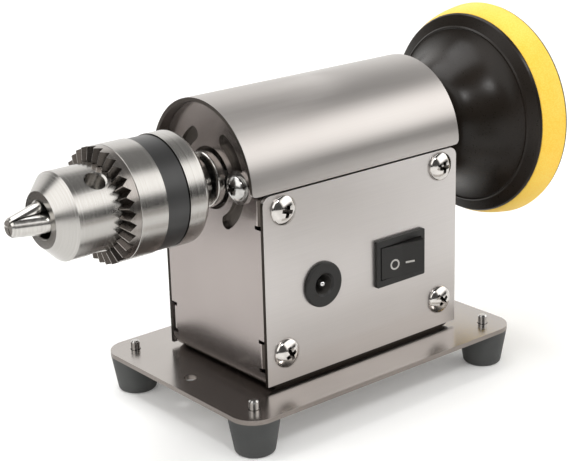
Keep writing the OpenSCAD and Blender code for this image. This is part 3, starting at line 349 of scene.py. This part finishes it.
# Stainless sheet: it gives back a little over half the light, with a warm cast. The side panels are
# the palest, with a soft sheen, and the rolled cover pulls one long highlight
panel_steel = brushed_steel("brushed_stainless_panel", "#C8C4C2", "#C1BDBB", 0.33, depth=0.001, grain=0.5)
cover_steel = brushed_steel("rolled_stainless_cover", "#B9B5B2", "#B4AFAC", 0.36, depth=0.0004, grain=0.5)
# The bent frame and the base were polished after brushing, so they mirror the chuck and each other
frame_steel = brushed_steel("bent_stainless_frame", "#A79F9C", "#9E9693", 0.25, depth=0.0006)
base_steel = brushed_steel("polished_stainless_base", "#ADA8A4", "#A29D99", 0.22, depth=0.0006)
# Painted shade on cut and hidden faces: the base plate's rim a shade darker, inner faces and bends dull,
# and sheared ends and gaps dark. Sheared edges are a little duller anyway
cut_edge_and_shade = brushed_steel("cut_edge_painted_shade", "#8F8883", "#7E7772", 0.3)
inner_painted_shade = brushed_steel("inner_face_painted_shade", "#5E5853", "#4E4844", 0.45)
sheared_edge_and_shade = brushed_steel("sheared_edge_painted_shade", "#3E3833", "#2E2925", 0.5)

# Turned steel of the chuck: a silvery satin, with highlights that run along the spindle
chuck_steel = turned_steel("turned_chuck_steel", "#B9B7B4", "#ABA8A4", 0.2, depth=0.0022)
# Hardened gear: greyer than the chuck on the teeth's tops. Their flanks are painted dark, as painted shade
# in the gaps between the teeth
gear_steel_and_shade = turned_steel("cut_gear_steel_and_painted_shade", "#A29D99", "#87827E", 0.2, grain=0.2)
flank_painted_shade = turned_steel("tooth_flank_painted_shade", "#57524E", "#46413D", 0.3, grain=0.2)
# Ground jaws, shaft and turned adapters: bright, with faint lines
jaw_steel = turned_steel("ground_jaw_steel", "#CFCDC9", "#B4B1AD", 0.2, pitch=0.5, grain=0.2)
shaft_steel = turned_steel("ground_shaft_steel", "#C2C2C2", "#AEAEAE", 0.2)
adapter_steel = turned_steel("turned_adapter_steel", "#B4B1AD", "#9E9B97", 0.2)
# Bearings are ground all over and oiled, with a cool tint
bearing_steel = plated("ground_bearing_steel", "#C4C6C8", "#B2B4B6", 0.15)

# Nickel plating: small hard highlights. The cross recesses are painted dark, as painted shade in them
nickel = plated("nickel_plated_screw", "#D2CECA", "#C0BCB8", 0.11)
cross_recess_shade = plated("cross_recess_painted_shade", "#5A5551", "#45403C", 0.3)
# Zinc plating is softer and greyer than nickel, and tin plating is the whitest
zinc_and_slot_highlight = plated("zinc_plated_steel_and_painted_highlight", "#C4C3C1", "#B0AEAC", 0.18)
motor_steel = plated("plated_motor_can", "#BEBBB7", "#AAA7A3", 0.2)
pin_plate = plated("tin_plated_pin", "#E4E4E4", "#D2D2D2", 0.15)
# Stamped brass is a dull yellow, and black oxide on set screws a blue black
brass = plated("stamped_brass", "#D2B26A", "#BE9C54", 0.28)
black_oxide = plated("black_oxide_steel", "#46464A", "#36363A", 0.35)
# Stamped laminations 0.4 mm thick show their joints as fine lines across the spindle
core_steel = brushed_steel("stamped_laminations", "#8A8C8E", "#6E7072", 0.4, streak=(0.42, 50, 50))
# Enamelled copper wire is an orange brown with a varnish gloss
copper = plated("enamelled_copper", "#C47A48", "#A8602F", 0.3)
# Sintered ferrite and pressed carbon are matt, one brownish and one black; the nylon cap is satin
ferrite = moulded("sintered_ferrite", "#4A4640", "#3A3732", 0.7)
carbon = moulded("pressed_carbon", "#38383A", "#2A2A2C", 0.6)
nylon = moulded("moulded_nylon_cap", "#2E2E30", "#262628", 0.5)

# Moulded rubber feet: a dark grey that looks dry, with a broad dim sheen
rubber = moulded("moulded_rubber_foot", "#4C4D4C", "#3E3F3F", 0.62, grit=0.35, depth=0.03, specular=0.4)
# The backing came from a smooth mould: near black and warm, with round highlights
dome_plastic = moulded("moulded_polyurethane_dome", "#201A15", "#1A1510", 0.3,
                       grit=0.6, depth=0.005, specular=0.22)
# Inlet and switch: black satin. The inlet's mouth is painted paler, as painted light in its shaded recess
inlet_mouth_painted_light = moulded("moulded_inlet_mouth_painted_light", "#4E4C48", "#444240", 0.5, specular=0.4)
inlet_plastic = moulded("moulded_inlet_plastic", "#201F1E", "#1A1918", 0.48, specular=0.4)
switch_plastic = moulded("moulded_switch_housing", "#1A1918", "#151413", 0.48, specular=0.4)
rocker_plastic = moulded("moulded_rocker", "#1D1C1B", "#181716", 0.45, specular=0.4)
# The grip band is charcoal, with a faint gloss that runs with the chuck's
band_plastic = moulded("dark_grip_band", "#343434", "#292929", 0.34, grit=0.3, depth=0.006)
# Pad-printed marks are a matt pale grey
mark_paint = moulded("printed_switch_mark", "#BEBBB7", "#A8A5A1", 0.5)
# Extruded wire insulation is smooth and a little glossy
red_wire = moulded("red_wire_insulation", "#A8221E", "#8E1A17", 0.4)
black_wire = moulded("black_wire_insulation", "#242424", "#1A1A1A", 0.4)
# Open foam is a warm yellow that its pores break up, and the hook layer a dark olive
foam = open_foam("yellow_open_foam", "#FFDC64", "#FFCC46")
hook_layer = hook_cloth("woven_hook_layer", "#6E654F", "#3E392F")

# Each row lists a finish, a slot and a broken edge in millimetres; every node of the frame gets the finish
# and the edge. The pieces below replace the ones that show most
PLAIN = (
    (base_steel, "base_plate", 0.2, "base_plate"),
    (rubber, "rubber_foot", 0, "foot_front_chuck_end foot_front_pad_end"),
    (rubber, "rubber_foot", 0, "foot_back_chuck_end foot_back_pad_end"),
    (zinc_and_slot_highlight, "zinc_fasteners", 0, "foot_screws foot_washers frame_screws frame_nuts"),
    (zinc_and_slot_highlight, "zinc_fasteners", 0, "motor_screws motor_washers"),
    (frame_steel, "frame_steel", 0.12, "motor_frame"),
    (panel_steel, "panel_steel", 0.15, "front_side_panel back_side_panel"),
    (nickel, "chrome_screws", 0, "front_panel_screws back_panel_screws"),
    (cover_steel, "cover_steel", 0.15, "top_cover"),
    (motor_steel, "motor_steel", 0, "motor_can"),
    (nylon, "motor_plastic", 0, "motor_end_cap"),
    (ferrite, "magnet", 0, "motor_magnets"),
    (bearing_steel, "bearing_steel", 0, "front_bearing rear_bearing"),
    (brass, "brass", 0, "brush_holders motor_terminals dc_jack_contacts switch_terminals"),
    (carbon, "carbon", 0, "carbon_brushes"),
    (inlet_plastic, "inlet_plastic", 0, "dc_jack_body"),
    (pin_plate, "nickel", 0, "dc_jack_pin dc_jack_nut"),
    (switch_plastic, "switch_plastic", 0.25, "switch_body"),
    (rocker_plastic, "rocker_plastic", 0.25, "switch_rocker"),
    (red_wire, "wire_red", 0, "wire_jack_to_switch wire_switch_to_motor"),
    (black_wire, "wire_black", 0, "wire_jack_to_motor"),
    (shaft_steel, "shaft_steel", 0, "motor_shaft"),
    (core_steel, "core_steel", 0, "armature_core"),
    (copper, "copper", 0, "armature_windings commutator"),
    (adapter_steel, "adapter_steel", 0, "chuck_adapter pad_adapter pad_insert"),
    (black_oxide, "black_steel", 0, "chuck_set_screws pad_set_screws"),
    (chuck_steel, "chuck_steel", 0, "chuck_body chuck_sleeve chuck_nut"),
    (band_plastic, "grip_band", 0, "chuck_grip_band"),
    (jaw_steel, "jaw_steel", 0.12, "jaw_1 jaw_2 jaw_3"),
    (dome_plastic, "backing", 0, "pad_backing"),
    (foam, "foam", 0, "pad_foam"),
    (hook_layer, "hook_layer", 0, "pad_hook_face"),
)
for finish, finish_slot, edge, names in PLAIN:
    for name in names.split():
        dressed(name, finish, edge)

# Second finishes on some faces of a node

# A normal's share along an axis, above which its face looks that way, and the share of a slant
ALONG = 0.9
SLANT = 0.3
# The front plate's thickness
PLATE = 1.5
# The frame's floor lies below this height, which is counted from the spindle
FLOOR_TOP = (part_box("front_side_panel")[0].z - AXIS) / MM + 4
# The ring that holds the motor slots, and the motor's boss, as radii
SLOTS_FROM, SLOTS_TO = 9.5, 19
BOSS_R = 11
# The inlet's middle, which is its pin, and where the worn part of its mouth lies
PIN_LOW, PIN_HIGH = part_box("dc_jack_pin")
INLET = ((PIN_LOW + PIN_HIGH) / 2 - Vector((FRONT, 0, AXIS))) / MM
MOUTH_R = 4.5
MOUTH_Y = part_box("dc_jack_body")[0].y / MM + 1.7
# How far the teeth and the groove behind them reach from the sleeve's front
GEAR_LENGTH = 4.8
TEETH_END = span_x("chuck_sleeve")[0] + GEAR_LENGTH
SLEEVE_END = span_x("chuck_sleeve")[1]


def part_of(name, finish, chosen):
    """Gives a second finish to the faces that chosen picks by their normal, their middle measured in
    millimetres from where the spindle meets the front plate, and their distance from the spindle."""
    node = nodes[name]
    node.data.materials.append(finish)
    index = len(node.data.materials) - 1
    for face in node.data.polygons:
        spot = (node.matrix_world @ face.center - Vector((FRONT, 0, AXIS))) / MM
        if chosen(face.normal, spot, math.hypot(spot.y, spot.z)):
            face.material_index = index


def in_slot(normal, spot, r):
    """The walls of the front plate's slots, between its two faces."""
    return 0 < spot.x < PLATE and SLOTS_FROM < r < SLOTS_TO and abs(normal.x) < 0.2


def inside_cover(normal, spot, r):
    """The cover's inner face, which looks towards the spindle, and its ends."""
    return normal.y * spot.y + normal.z * spot.z < -0.5 * r or abs(normal.x) > ALONG


def in_mouth(normal, spot, r):
    """The deeper part of the inlet's funnel, round its pin."""
    return math.hypot(spot.x - INLET.x, spot.z - INLET.z) < MOUTH_R and spot.y > MOUTH_Y


def on_flank(normal, spot, r):
    """Tooth flanks: they face round the spindle, while the tops of the teeth don't."""
    return spot.x < TEETH_END and abs(normal.z * spot.y - normal.y * spot.z) > 0.4 * r


# The sheared edges of the frame's floor and of the side panels are painted dark: painted shade of the gaps
# under and beside the panels, on edges a little duller anyway
part_of("motor_frame", sheared_edge_and_shade, lambda normal, spot, r: abs(normal.y) > ALONG and spot.z < FLOOR_TOP)
# The slots' walls are painted bright as a painted highlight, and the bends beside the tabs' relief cuts are
# painted dull as painted shade
part_of("motor_frame", zinc_and_slot_highlight, in_slot)
part_of("motor_frame", inner_painted_shade, lambda normal, spot, r: min(abs(normal.x), abs(normal.y)) > SLANT)
for name in ("front_side_panel", "back_side_panel"):
    part_of(name, sheared_edge_and_shade, lambda normal, spot, r: abs(normal.x) > ALONG)
# Painted shade: the cover's inner face and ends, the base plate's rim and the motor's face behind the slots
# are painted darker
part_of("top_cover", inner_painted_shade, inside_cover)
part_of("base_plate", cut_edge_and_shade, lambda normal, spot, r: abs(normal.z) < 0.5)
part_of("motor_can", inner_painted_shade, lambda normal, spot, r: normal.x < -0.5 and r > BOSS_R)
# The inlet's mouth is painted paler, as painted light in its shaded recess
part_of("dc_jack_body", inlet_mouth_painted_light, in_mouth)
# The gear end of the sleeve is left as cut and hardened, up to the groove behind its teeth
part_of("chuck_sleeve", gear_steel_and_shade, lambda normal, spot, r: spot.x < TEETH_END)
# The teeth's flanks are painted dark, as painted shade between the teeth
part_of("chuck_sleeve", flank_painted_shade, on_flank)
# The teeth's broken edges are painted bright with the sleeve's own finish, the first one, as a painted
# highlight
teeth_edge_highlight = softened(nodes["chuck_sleeve"], 0.24, angle=30, steps=1)
teeth_edge_highlight.material = 0
# The chuck's rear face is painted with the darker gear finish, as painted shade between the chuck and the
# plate
part_of("chuck_body", gear_steel_and_shade, lambda normal, spot, r: normal.x > ALONG and spot.x > SLEEVE_END)

# Foam pad: a soft disc that flares and bulges past its backing, with rolled edges
ROLL = 0.25
BULGE = 0.25
# Below 1 the disc widens most near its rear
FLARE = 0.75
SIDE_STEPS = 12
foam_rear, foam_front = span_x("pad_foam")
foam_r = radius_of("pad_foam")
backing_r = radius_of("pad_backing")
outline = [(foam_rear, 0), (foam_rear, backing_r - 0.6, 0.8)]
for k in range(SIDE_STEPS + 1):
    t = k / SIDE_STEPS
    # The bulge starts a little inside the rear edge and has run out before the front one
    swell = BULGE * math.sin(math.pi * min(1, t * 1.15 + 0.02)) ** 0.6
    x = foam_rear + ROLL + (foam_front - foam_rear - 2 * ROLL) * t
    outline.append((x, backing_r + 0.1 + (foam_r - backing_r - 0.15) * t ** FLARE + swell))
outline += [(foam_front, foam_r - 0.7), (foam_front, 0)]
pad = turned("foam_pad", outline, foam, 160)
fitted(pad, "spindle", "pad_foam")

# Backing: a smooth bell from the hub to a fine ridge, a flat rim, and inside it the pocket of the nut
hub_face = span_x("pad_backing")[0]
HUB_R = 11.5
BORE_R, BORE_END = 5.5, hub_face + 13.2
NUT_R, NUT_NEAR, NUT_FAR = 9.35, hub_face + 1.75, hub_face + 11.85
RIDGE_X, RIDGE_R = foam_rear - 2.6, 29.5
BELL_STEPS = 40
bell = interpolate_bezier(
    Vector((hub_face, HUB_R)), Vector((hub_face, 21.5)),
    Vector((hub_face + 13.3, 19)), Vector((RIDGE_X, RIDGE_R)), BELL_STEPS + 1)
outline = [(BORE_END, 0), (BORE_END, BORE_R), (NUT_FAR, BORE_R), (NUT_FAR, NUT_R),
           (NUT_NEAR, NUT_R), (NUT_NEAR, BORE_R), (hub_face, BORE_R, 0.3)]
outline += [tuple(spot) for spot in bell[:-1]]
outline += [(RIDGE_X, RIDGE_R, 0.15), (RIDGE_X - 0.25, RIDGE_R + 0.5, 0.2),
            (RIDGE_X + 0.3, RIDGE_R + 1, 0.2), (foam_rear - 0.95, backing_r - 0.45, 0.5),
            (foam_rear - 0.3, backing_r, 0.3), (foam_rear, backing_r), (foam_rear, 0)]
fitted(turned("pad_bell", outline, dome_plastic, 192), "spindle", "pad_backing")

# Hook layer: a thin disc with a soft edge, set a hair into the foam
SET_IN = 0.02
hook_rear, hook_front = span_x("pad_hook_face")
hook_r = radius_of("pad_hook_face")
outline = [(hook_rear - SET_IN, 0), (hook_rear - SET_IN, hook_r, 0.2),
           (hook_front, hook_r - 0.1, 0.35), (hook_front, 0)]
layer = turned("hook_layer_disc", outline, hook_layer, 160)
fitted(layer, "spindle", "pad_hook_face")

# Cross-headed pan screws: a domed head on a small rim, a tapered cross and a threadless shank
PANEL_SCREW = {"head_r": 4.8, "head_h": 2.6, "shank_r": 2.49, "shank_l": 4.0}
MOTOR_SCREW = {"head_r": 4.0, "head_h": 2.8, "shank_r": 1.94, "shank_l": 3.8}
# The rim's share of the head's height, the chamfer of the shank's end and the gap under the head
RIM_SHARE = 0.22
CHAMFER = 0.5
SEAT = 0.02
DOME_STEPS = 14
QUARTER = Matrix.Rotation(math.pi / 2, 4, "X")


def turned_to(spot, outward, twist):
    """A matrix that takes X to the way a fitting faces, and turns the fitting about it."""
    turn = Vector((1, 0, 0)).rotation_difference(Vector(outward)).to_matrix().to_4x4()
    return Matrix.Translation(spot) @ turn @ Matrix.Rotation(twist, 4, "X")


def wings(name, spots, head_r, head_h):
    """One wing of the cross for each screw: a wedge that narrows as it goes down."""
    # Height from the head's seat, half length and half width
    foot = (head_h * 0.35, head_r * 0.16, head_r * 0.07)
    mouth = (head_h + 0.4, head_r * 0.54, head_r * 0.15)
    bm = bmesh.new()
    for matrix in spots:
        ends = []
        for x, half_l, half_w in (foot, mouth):
            corners = [(x, side_l * half_l, side_w * half_w)
                       for side_l, side_w in ((-1, -1), (1, -1), (1, 1), (-1, 1))]
            ends.append([bm.verts.new(matrix @ (Vector(corner) * MM)) for corner in corners])
        low, high = ends
        bm.faces.new(low)
        bm.faces.new(high)
        for k in range(4):
            n = (k + 1) % 4
            bm.faces.new((low[k], low[n], high[n], high[k]))
    return finished(name, bm, cross_recess_shade)


def pan_screws(name, spots, head_r, head_h, shank_r, shank_l, finish, finish_slot, stands_for):
    """A set of screws with crosses, in place of a node."""
    crown = head_h * (1 - RIM_SHARE)
    dome_r = (head_r ** 2 + crown ** 2) / (2 * crown)
    reach = math.asin(head_r / dome_r)
    outline = [(-shank_l, 0), (-shank_l, shank_r - CHAMFER), (-shank_l + CHAMFER, shank_r),
               (SEAT, shank_r), (SEAT, head_r, 0.15)]
    for k in range(1, DOME_STEPS):
        a = reach * (1 - k / DOME_STEPS)
        outline.append((head_h - dome_r + dome_r * math.cos(a), dome_r * math.sin(a)))
    outline.append((head_h, 0))
    bm = bmesh.new()
    for matrix in spots:
        lathe(bm, rounded(outline, steps=2), matrix, 64)
    made = finished(name, bm, finish, sharp=40)
    # The wings' dark finish passes to the cross recesses as painted shade
    carved(made, wings("wing_a", spots, head_r, head_h),
           wings("wing_b", [spot @ QUARTER for spot in spots], head_r, head_h))
    softened(made, 0.05, angle=35)
    fitted(made, "housing", stands_for)


# Screws stand in from the panel's ends, its foot and its top. Each was driven to another angle
FROM_END, FROM_FOOT, FROM_TOP = 7.5, 9.4, 5.2
TWIST, TWIST_STEP = 0.45, 0.9
PANEL_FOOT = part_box("front_side_panel")[0].z / MM
PANEL_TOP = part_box("front_side_panel")[1].z / MM
PANEL_FACE = -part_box("front_side_panel")[0].y / MM
LENGTH = (REAR - FRONT) / MM
CORNERS = [(x, z) for x in (FROM_END, LENGTH - FROM_END)
           for z in (PANEL_FOOT + FROM_FOOT, PANEL_TOP - FROM_TOP)]
for side, name in ((-1, "front_panel_screws"), (1, "back_panel_screws")):
    spots = [turned_to(place(x, side * PANEL_FACE, z), (0, side, 0), TWIST + TWIST_STEP * k)
             for k, (x, z) in enumerate(CORNERS)]
    pan_screws(name + "_heads", spots, **PANEL_SCREW,
               finish=nickel, finish_slot="chrome_screws", stands_for=name)
# The motor's screws sit on their washers, level with the spindle
WASHER_X = span_x("motor_washers")[0]
MOTOR_SCREW_Y = 14.5
MOTOR_TWIST = 0.3
spots = [turned_to(place(WASHER_X, side * MOTOR_SCREW_Y, AXIS / MM), (-1, 0, 0), MOTOR_TWIST)
         for side in (-1, 1)]
pan_screws("motor_screw_heads", spots, **MOTOR_SCREW,
           finish=zinc_and_slot_highlight, finish_slot="zinc_fasteners", stands_for="motor_screws")

# The two marks printed on the rocker: each point is dropped onto the rocker's face

# Half the ink's thickness, and a place well in front of the rocker
INK = 0.03
IN_FRONT = -60
# The marks' middles along the panel and up from its foot
OFF_X, OFF_Z = 51.1, 27.3
ON_X, ON_Z = 56.7, 27.2
# The ring's two radii, and half the bar's length and height. The bar closes round a slit too thin to see
RING_OUTER, RING_INNER = 1.75, 1.2
BAR_L, BAR_H = 1.55, 0.3
SLIT_L, SLIT_H = 0.9, 0.02
rocker = nodes["switch_rocker"]
rocker_tree = BVHTree.FromObject(rocker, bpy.context.evaluated_depsgraph_get())
to_rocker = rocker.matrix_world.inverted()


def dropped(x, z):
    """The point of the rocker's face behind a point given along the panel and up from its foot."""
    start = to_rocker @ place(x, IN_FRONT, PANEL_FOOT + z)
    hit = rocker_tree.ray_cast(start, to_rocker.to_3x3() @ Vector((0, 1, 0)))[0]
    return rocker.matrix_world @ hit


def printed(name, loops):
    """A thin printed mark between two closed loops of (x, height above the panel's foot) points."""
    bm = bmesh.new()
    rows = []
    for depth in (INK, -INK):
        for loop in loops:
            rows.append([bm.verts.new(dropped(x, z) - Vector((0, depth * MM, 0))) for x, z in loop])
    outer_top, inner_top, outer_low, inner_low = rows
    ring = (outer_top, inner_top, inner_low, outer_low)
    count = len(outer_top)
    for a, b in zip(ring, ring[1:] + ring[:1]):
        for k in range(count):
            n = (k + 1) % count
            bm.faces.new((a[k], a[n], b[n], b[k]))
    return finished(name, bm, mark_paint)


def ellipse(x, z, half_l, half_h, steps=40):
    """A closed loop of points about a centre."""
    turns = [math.tau * k / steps for k in range(steps)]
    return [(x + half_l * math.cos(a), z + half_h * math.sin(a)) for a in turns]


def bar(x, z, half_l, half_h):
    """A rectangle's outline with as many points as an ellipse, so that the two join."""
    loop = []
    for px, pz in ellipse(0, 0, 1, 1):
        most = max(abs(px), abs(pz))
        loop.append((x + half_l * px / most, z + half_h * pz / most))
    return loop


off_mark = printed("mark_off", [ellipse(OFF_X, OFF_Z, r, r) for r in (RING_OUTER, RING_INNER)])
on_mark = printed("mark_on", (bar(ON_X, ON_Z, BAR_L, BAR_H), bar(ON_X, ON_Z, SLIT_L, SLIT_H)))
for mark in (off_mark, on_mark):
    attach(mark, "rocker")

# Floor: white paper 12 m wide with a faint tooth about 3 mm across. The rays that see it, straight or
# in metal, get the little light that makes it white
PAPER_GLOW = 0.12
bm = bmesh.new()
bmesh.ops.create_grid(bm, x_segments=1, y_segments=1, size=6)
white_paper, tree, shader = surface("pale_paper_floor", {
    "Roughness": 0.9, "Specular IOR Level": 0.1, "Emission Color": linear("#FFFFFF")})
tooth = add(tree, "TexNoise", {"Vector": add(tree, "TexCoord")["Object"], "Scale": per_metre(3.3)})[0]
patterned(shader, "#F5F5F4", "#F1F1F0", (tooth, 0, 1))
path = add(tree, "LightPath")
seen = add(tree, "Math", [path["Is Camera Ray"], path["Is Glossy Ray"]], operation="ADD")[0]
seen = add(tree, "Math", [seen, path["Is Transmission Ray"]], operation="ADD", use_clamp=True)[0]
feed(shader, {"Emission Strength": add(tree, "Math", [seen, PAPER_GLOW], operation="MULTIPLY")[0]})
floor = finished("paper_floor", bm, white_paper)


def lamp(name, spot, aim, side, power):
    """A square soft box at a spot, turned to aim, in metres and watts."""
    light = bpy.data.lights.new(name, "AREA")
    light.shape = "RECTANGLE"
    light.size = light.size_y = side
    light.energy = power
    made = bpy.data.objects.new(name, light)
    made.location = spot
    made.rotation_euler = (Vector(aim) - Vector(spot)).to_track_quat("-Z", "Y").to_euler()
    bpy.context.scene.collection.objects.link(made)


# A large soft box overhead lights the paper and all that isn't metal
lamp("overhead_soft_box", (-0.05, 0.45, 1.2), aim=(0, 0, 0.06), side=0.9, power=8.8)
# A small one beside the camera gives the dome its round highlight and lights the foam's near side
lamp("near_soft_box", (-0.31, -0.72, 0.98), aim=(0.05, 0, 0.07), side=0.2, power=3.4)


def card(name, spot, turn, width, height, code, tilt=90):
    """A matt card that nothing but a reflection shows: it only darkens what the metal mirrors there.
    It stands up unless tilt is 0, which lays it down."""
    bm = bmesh.new()
    bmesh.ops.create_grid(bm, x_segments=1, y_segments=1, size=0.5)
    felt, _, _ = surface(name + "_felt", {
        "Roughness": 1.0, "Specular IOR Level": 0.0, "Base Color": linear(code)})
    made = finished(name, bm, felt)
    made.dimensions = (width * MM, height * MM, 0)
    made.rotation_euler = (math.radians(tilt), 0, math.radians(turn))
    made.location = place(*spot)
    made.visible_camera = made.visible_shadow = made.visible_diffuse = False


# The chuck shows a dark line under its highlight, and greys below it
card("black_card", (100, -215, 58), turn=37, width=80, height=44, code="#101010")
card("low_card", (100, -175, 18), turn=37, width=120, height=36, code="#B4B0AC")
# The front plate is duller than the side panel, most of all in the arch over the motor's screws
card("grey_card", (-150, 183, 20), turn=39, width=140, height=40, code="#8E8884")
card("arch_card", (-99, 102.5, 44), turn=39, width=32, height=64, code="#0E0E0E")
# The side panel darkens a little towards its foot
card("foot_card", (88, -76, 1), turn=0, width=140, height=26, code="#C6C2BE", tilt=0)

# The room is dim, with soft panels of light where the metal shows them
world = bpy.data.worlds.new("studio_room")
bpy.context.scene.world = world
world.use_nodes = True
tree = world.node_tree
toward = add(tree, "TexCoord")["Generated"]


def glow(turn, rise, half_width, half_height, soft, strength):
    """A soft-edged panel of light. Its turn is counted from +X towards +Y; all angles are degrees."""
    t, e = math.radians(turn), math.radians(rise)
    aim = Vector((math.cos(t) * math.cos(e), math.sin(t) * math.cos(e), math.sin(e)))
    along = Vector((-math.sin(t), math.cos(t), 0))
    total = strength
    for axis, half in ((along, half_width), (aim.cross(along), half_height)):
        reach = add(tree, "VectorMath", [toward, axis], operation="DOT_PRODUCT")["Value"]
        off = add(tree, "Math", [reach], operation="ABSOLUTE")[0]
        edge, fade = math.sin(math.radians(half)), math.sin(math.radians(half + soft))
        part = add(tree, "MapRange", [off, fade, edge], interpolation_type="SMOOTHSTEP")[0]
        total = add(tree, "Math", [total, part], operation="MULTIPLY")[0]
    reach = add(tree, "VectorMath", [toward, aim], operation="DOT_PRODUCT")["Value"]
    ahead_of = add(tree, "Math", [reach, 0.0], operation="GREATER_THAN")[0]
    return add(tree, "Math", [total, ahead_of], operation="MULTIPLY")[0]


ROOM = 0.1
# Turn, rise, half width, half height, soft edge and strength
PANELS = (
    # Front right: the chuck's and the cover's long highlight
    (-47, 30.5, 27, 11, 12, 1.9),
    # Back wall: the tops of the round pieces and the base plate
    (42, 16, 50, 14, 22, 1.15),
    # Left: the nose cone and the jaws
    (180, 40, 24, 16, 12, 1.9),
    # Faint return between the first two
    (20, 52, 30, 6, 14, 0.2),
)
light = ROOM
for panel in PANELS:
    light = add(tree, "Math", [light, glow(*panel)], operation="ADD")[0]
feed(tree.nodes["Background"], {"Strength": light, "Color": linear("#FFFEFC")})

# The camera stands where the photograph's does, from a fit of 80 of its points. The focal length and
# the optical centre are in pixels of the photograph
WIDTH, HEIGHT = 569, 461
EYE = (-253.26, -345.70, 187.71 + PANEL_FOOT)
YAW, PITCH, ROLL_ANGLE = 0.683, 0.327, -0.028
FOCAL, CENTRE_X, CENTRE_Y = 1481.1, 283.83, 233.47
SENSOR = 36
ahead = Vector((math.sin(YAW) * math.cos(PITCH), math.cos(YAW) * math.cos(PITCH), -math.sin(PITCH)))
level = Vector((math.cos(YAW), -math.sin(YAW), 0))
upright = level.cross(ahead)
right = math.cos(ROLL_ANGLE) * level + math.sin(ROLL_ANGLE) * upright
up = math.cos(ROLL_ANGLE) * upright - math.sin(ROLL_ANGLE) * level
camera = bpy.data.objects.new("camera", bpy.data.cameras.new("camera"))
camera.matrix_world = Matrix.Translation(place(*EYE)) @ Matrix((right, up, -ahead)).transposed().to_4x4()
camera.data.sensor_width = SENSOR
camera.data.lens = FOCAL / WIDTH * SENSOR
camera.data.shift_x = (WIDTH / 2 - CENTRE_X) / WIDTH
camera.data.shift_y = (CENTRE_Y - HEIGHT / 2) / WIDTH
camera.data.clip_start = 0.01
bpy.context.scene.collection.objects.link(camera)
bpy.context.scene.camera = camera
bpy.context.scene.view_settings.view_transform = "Standard"
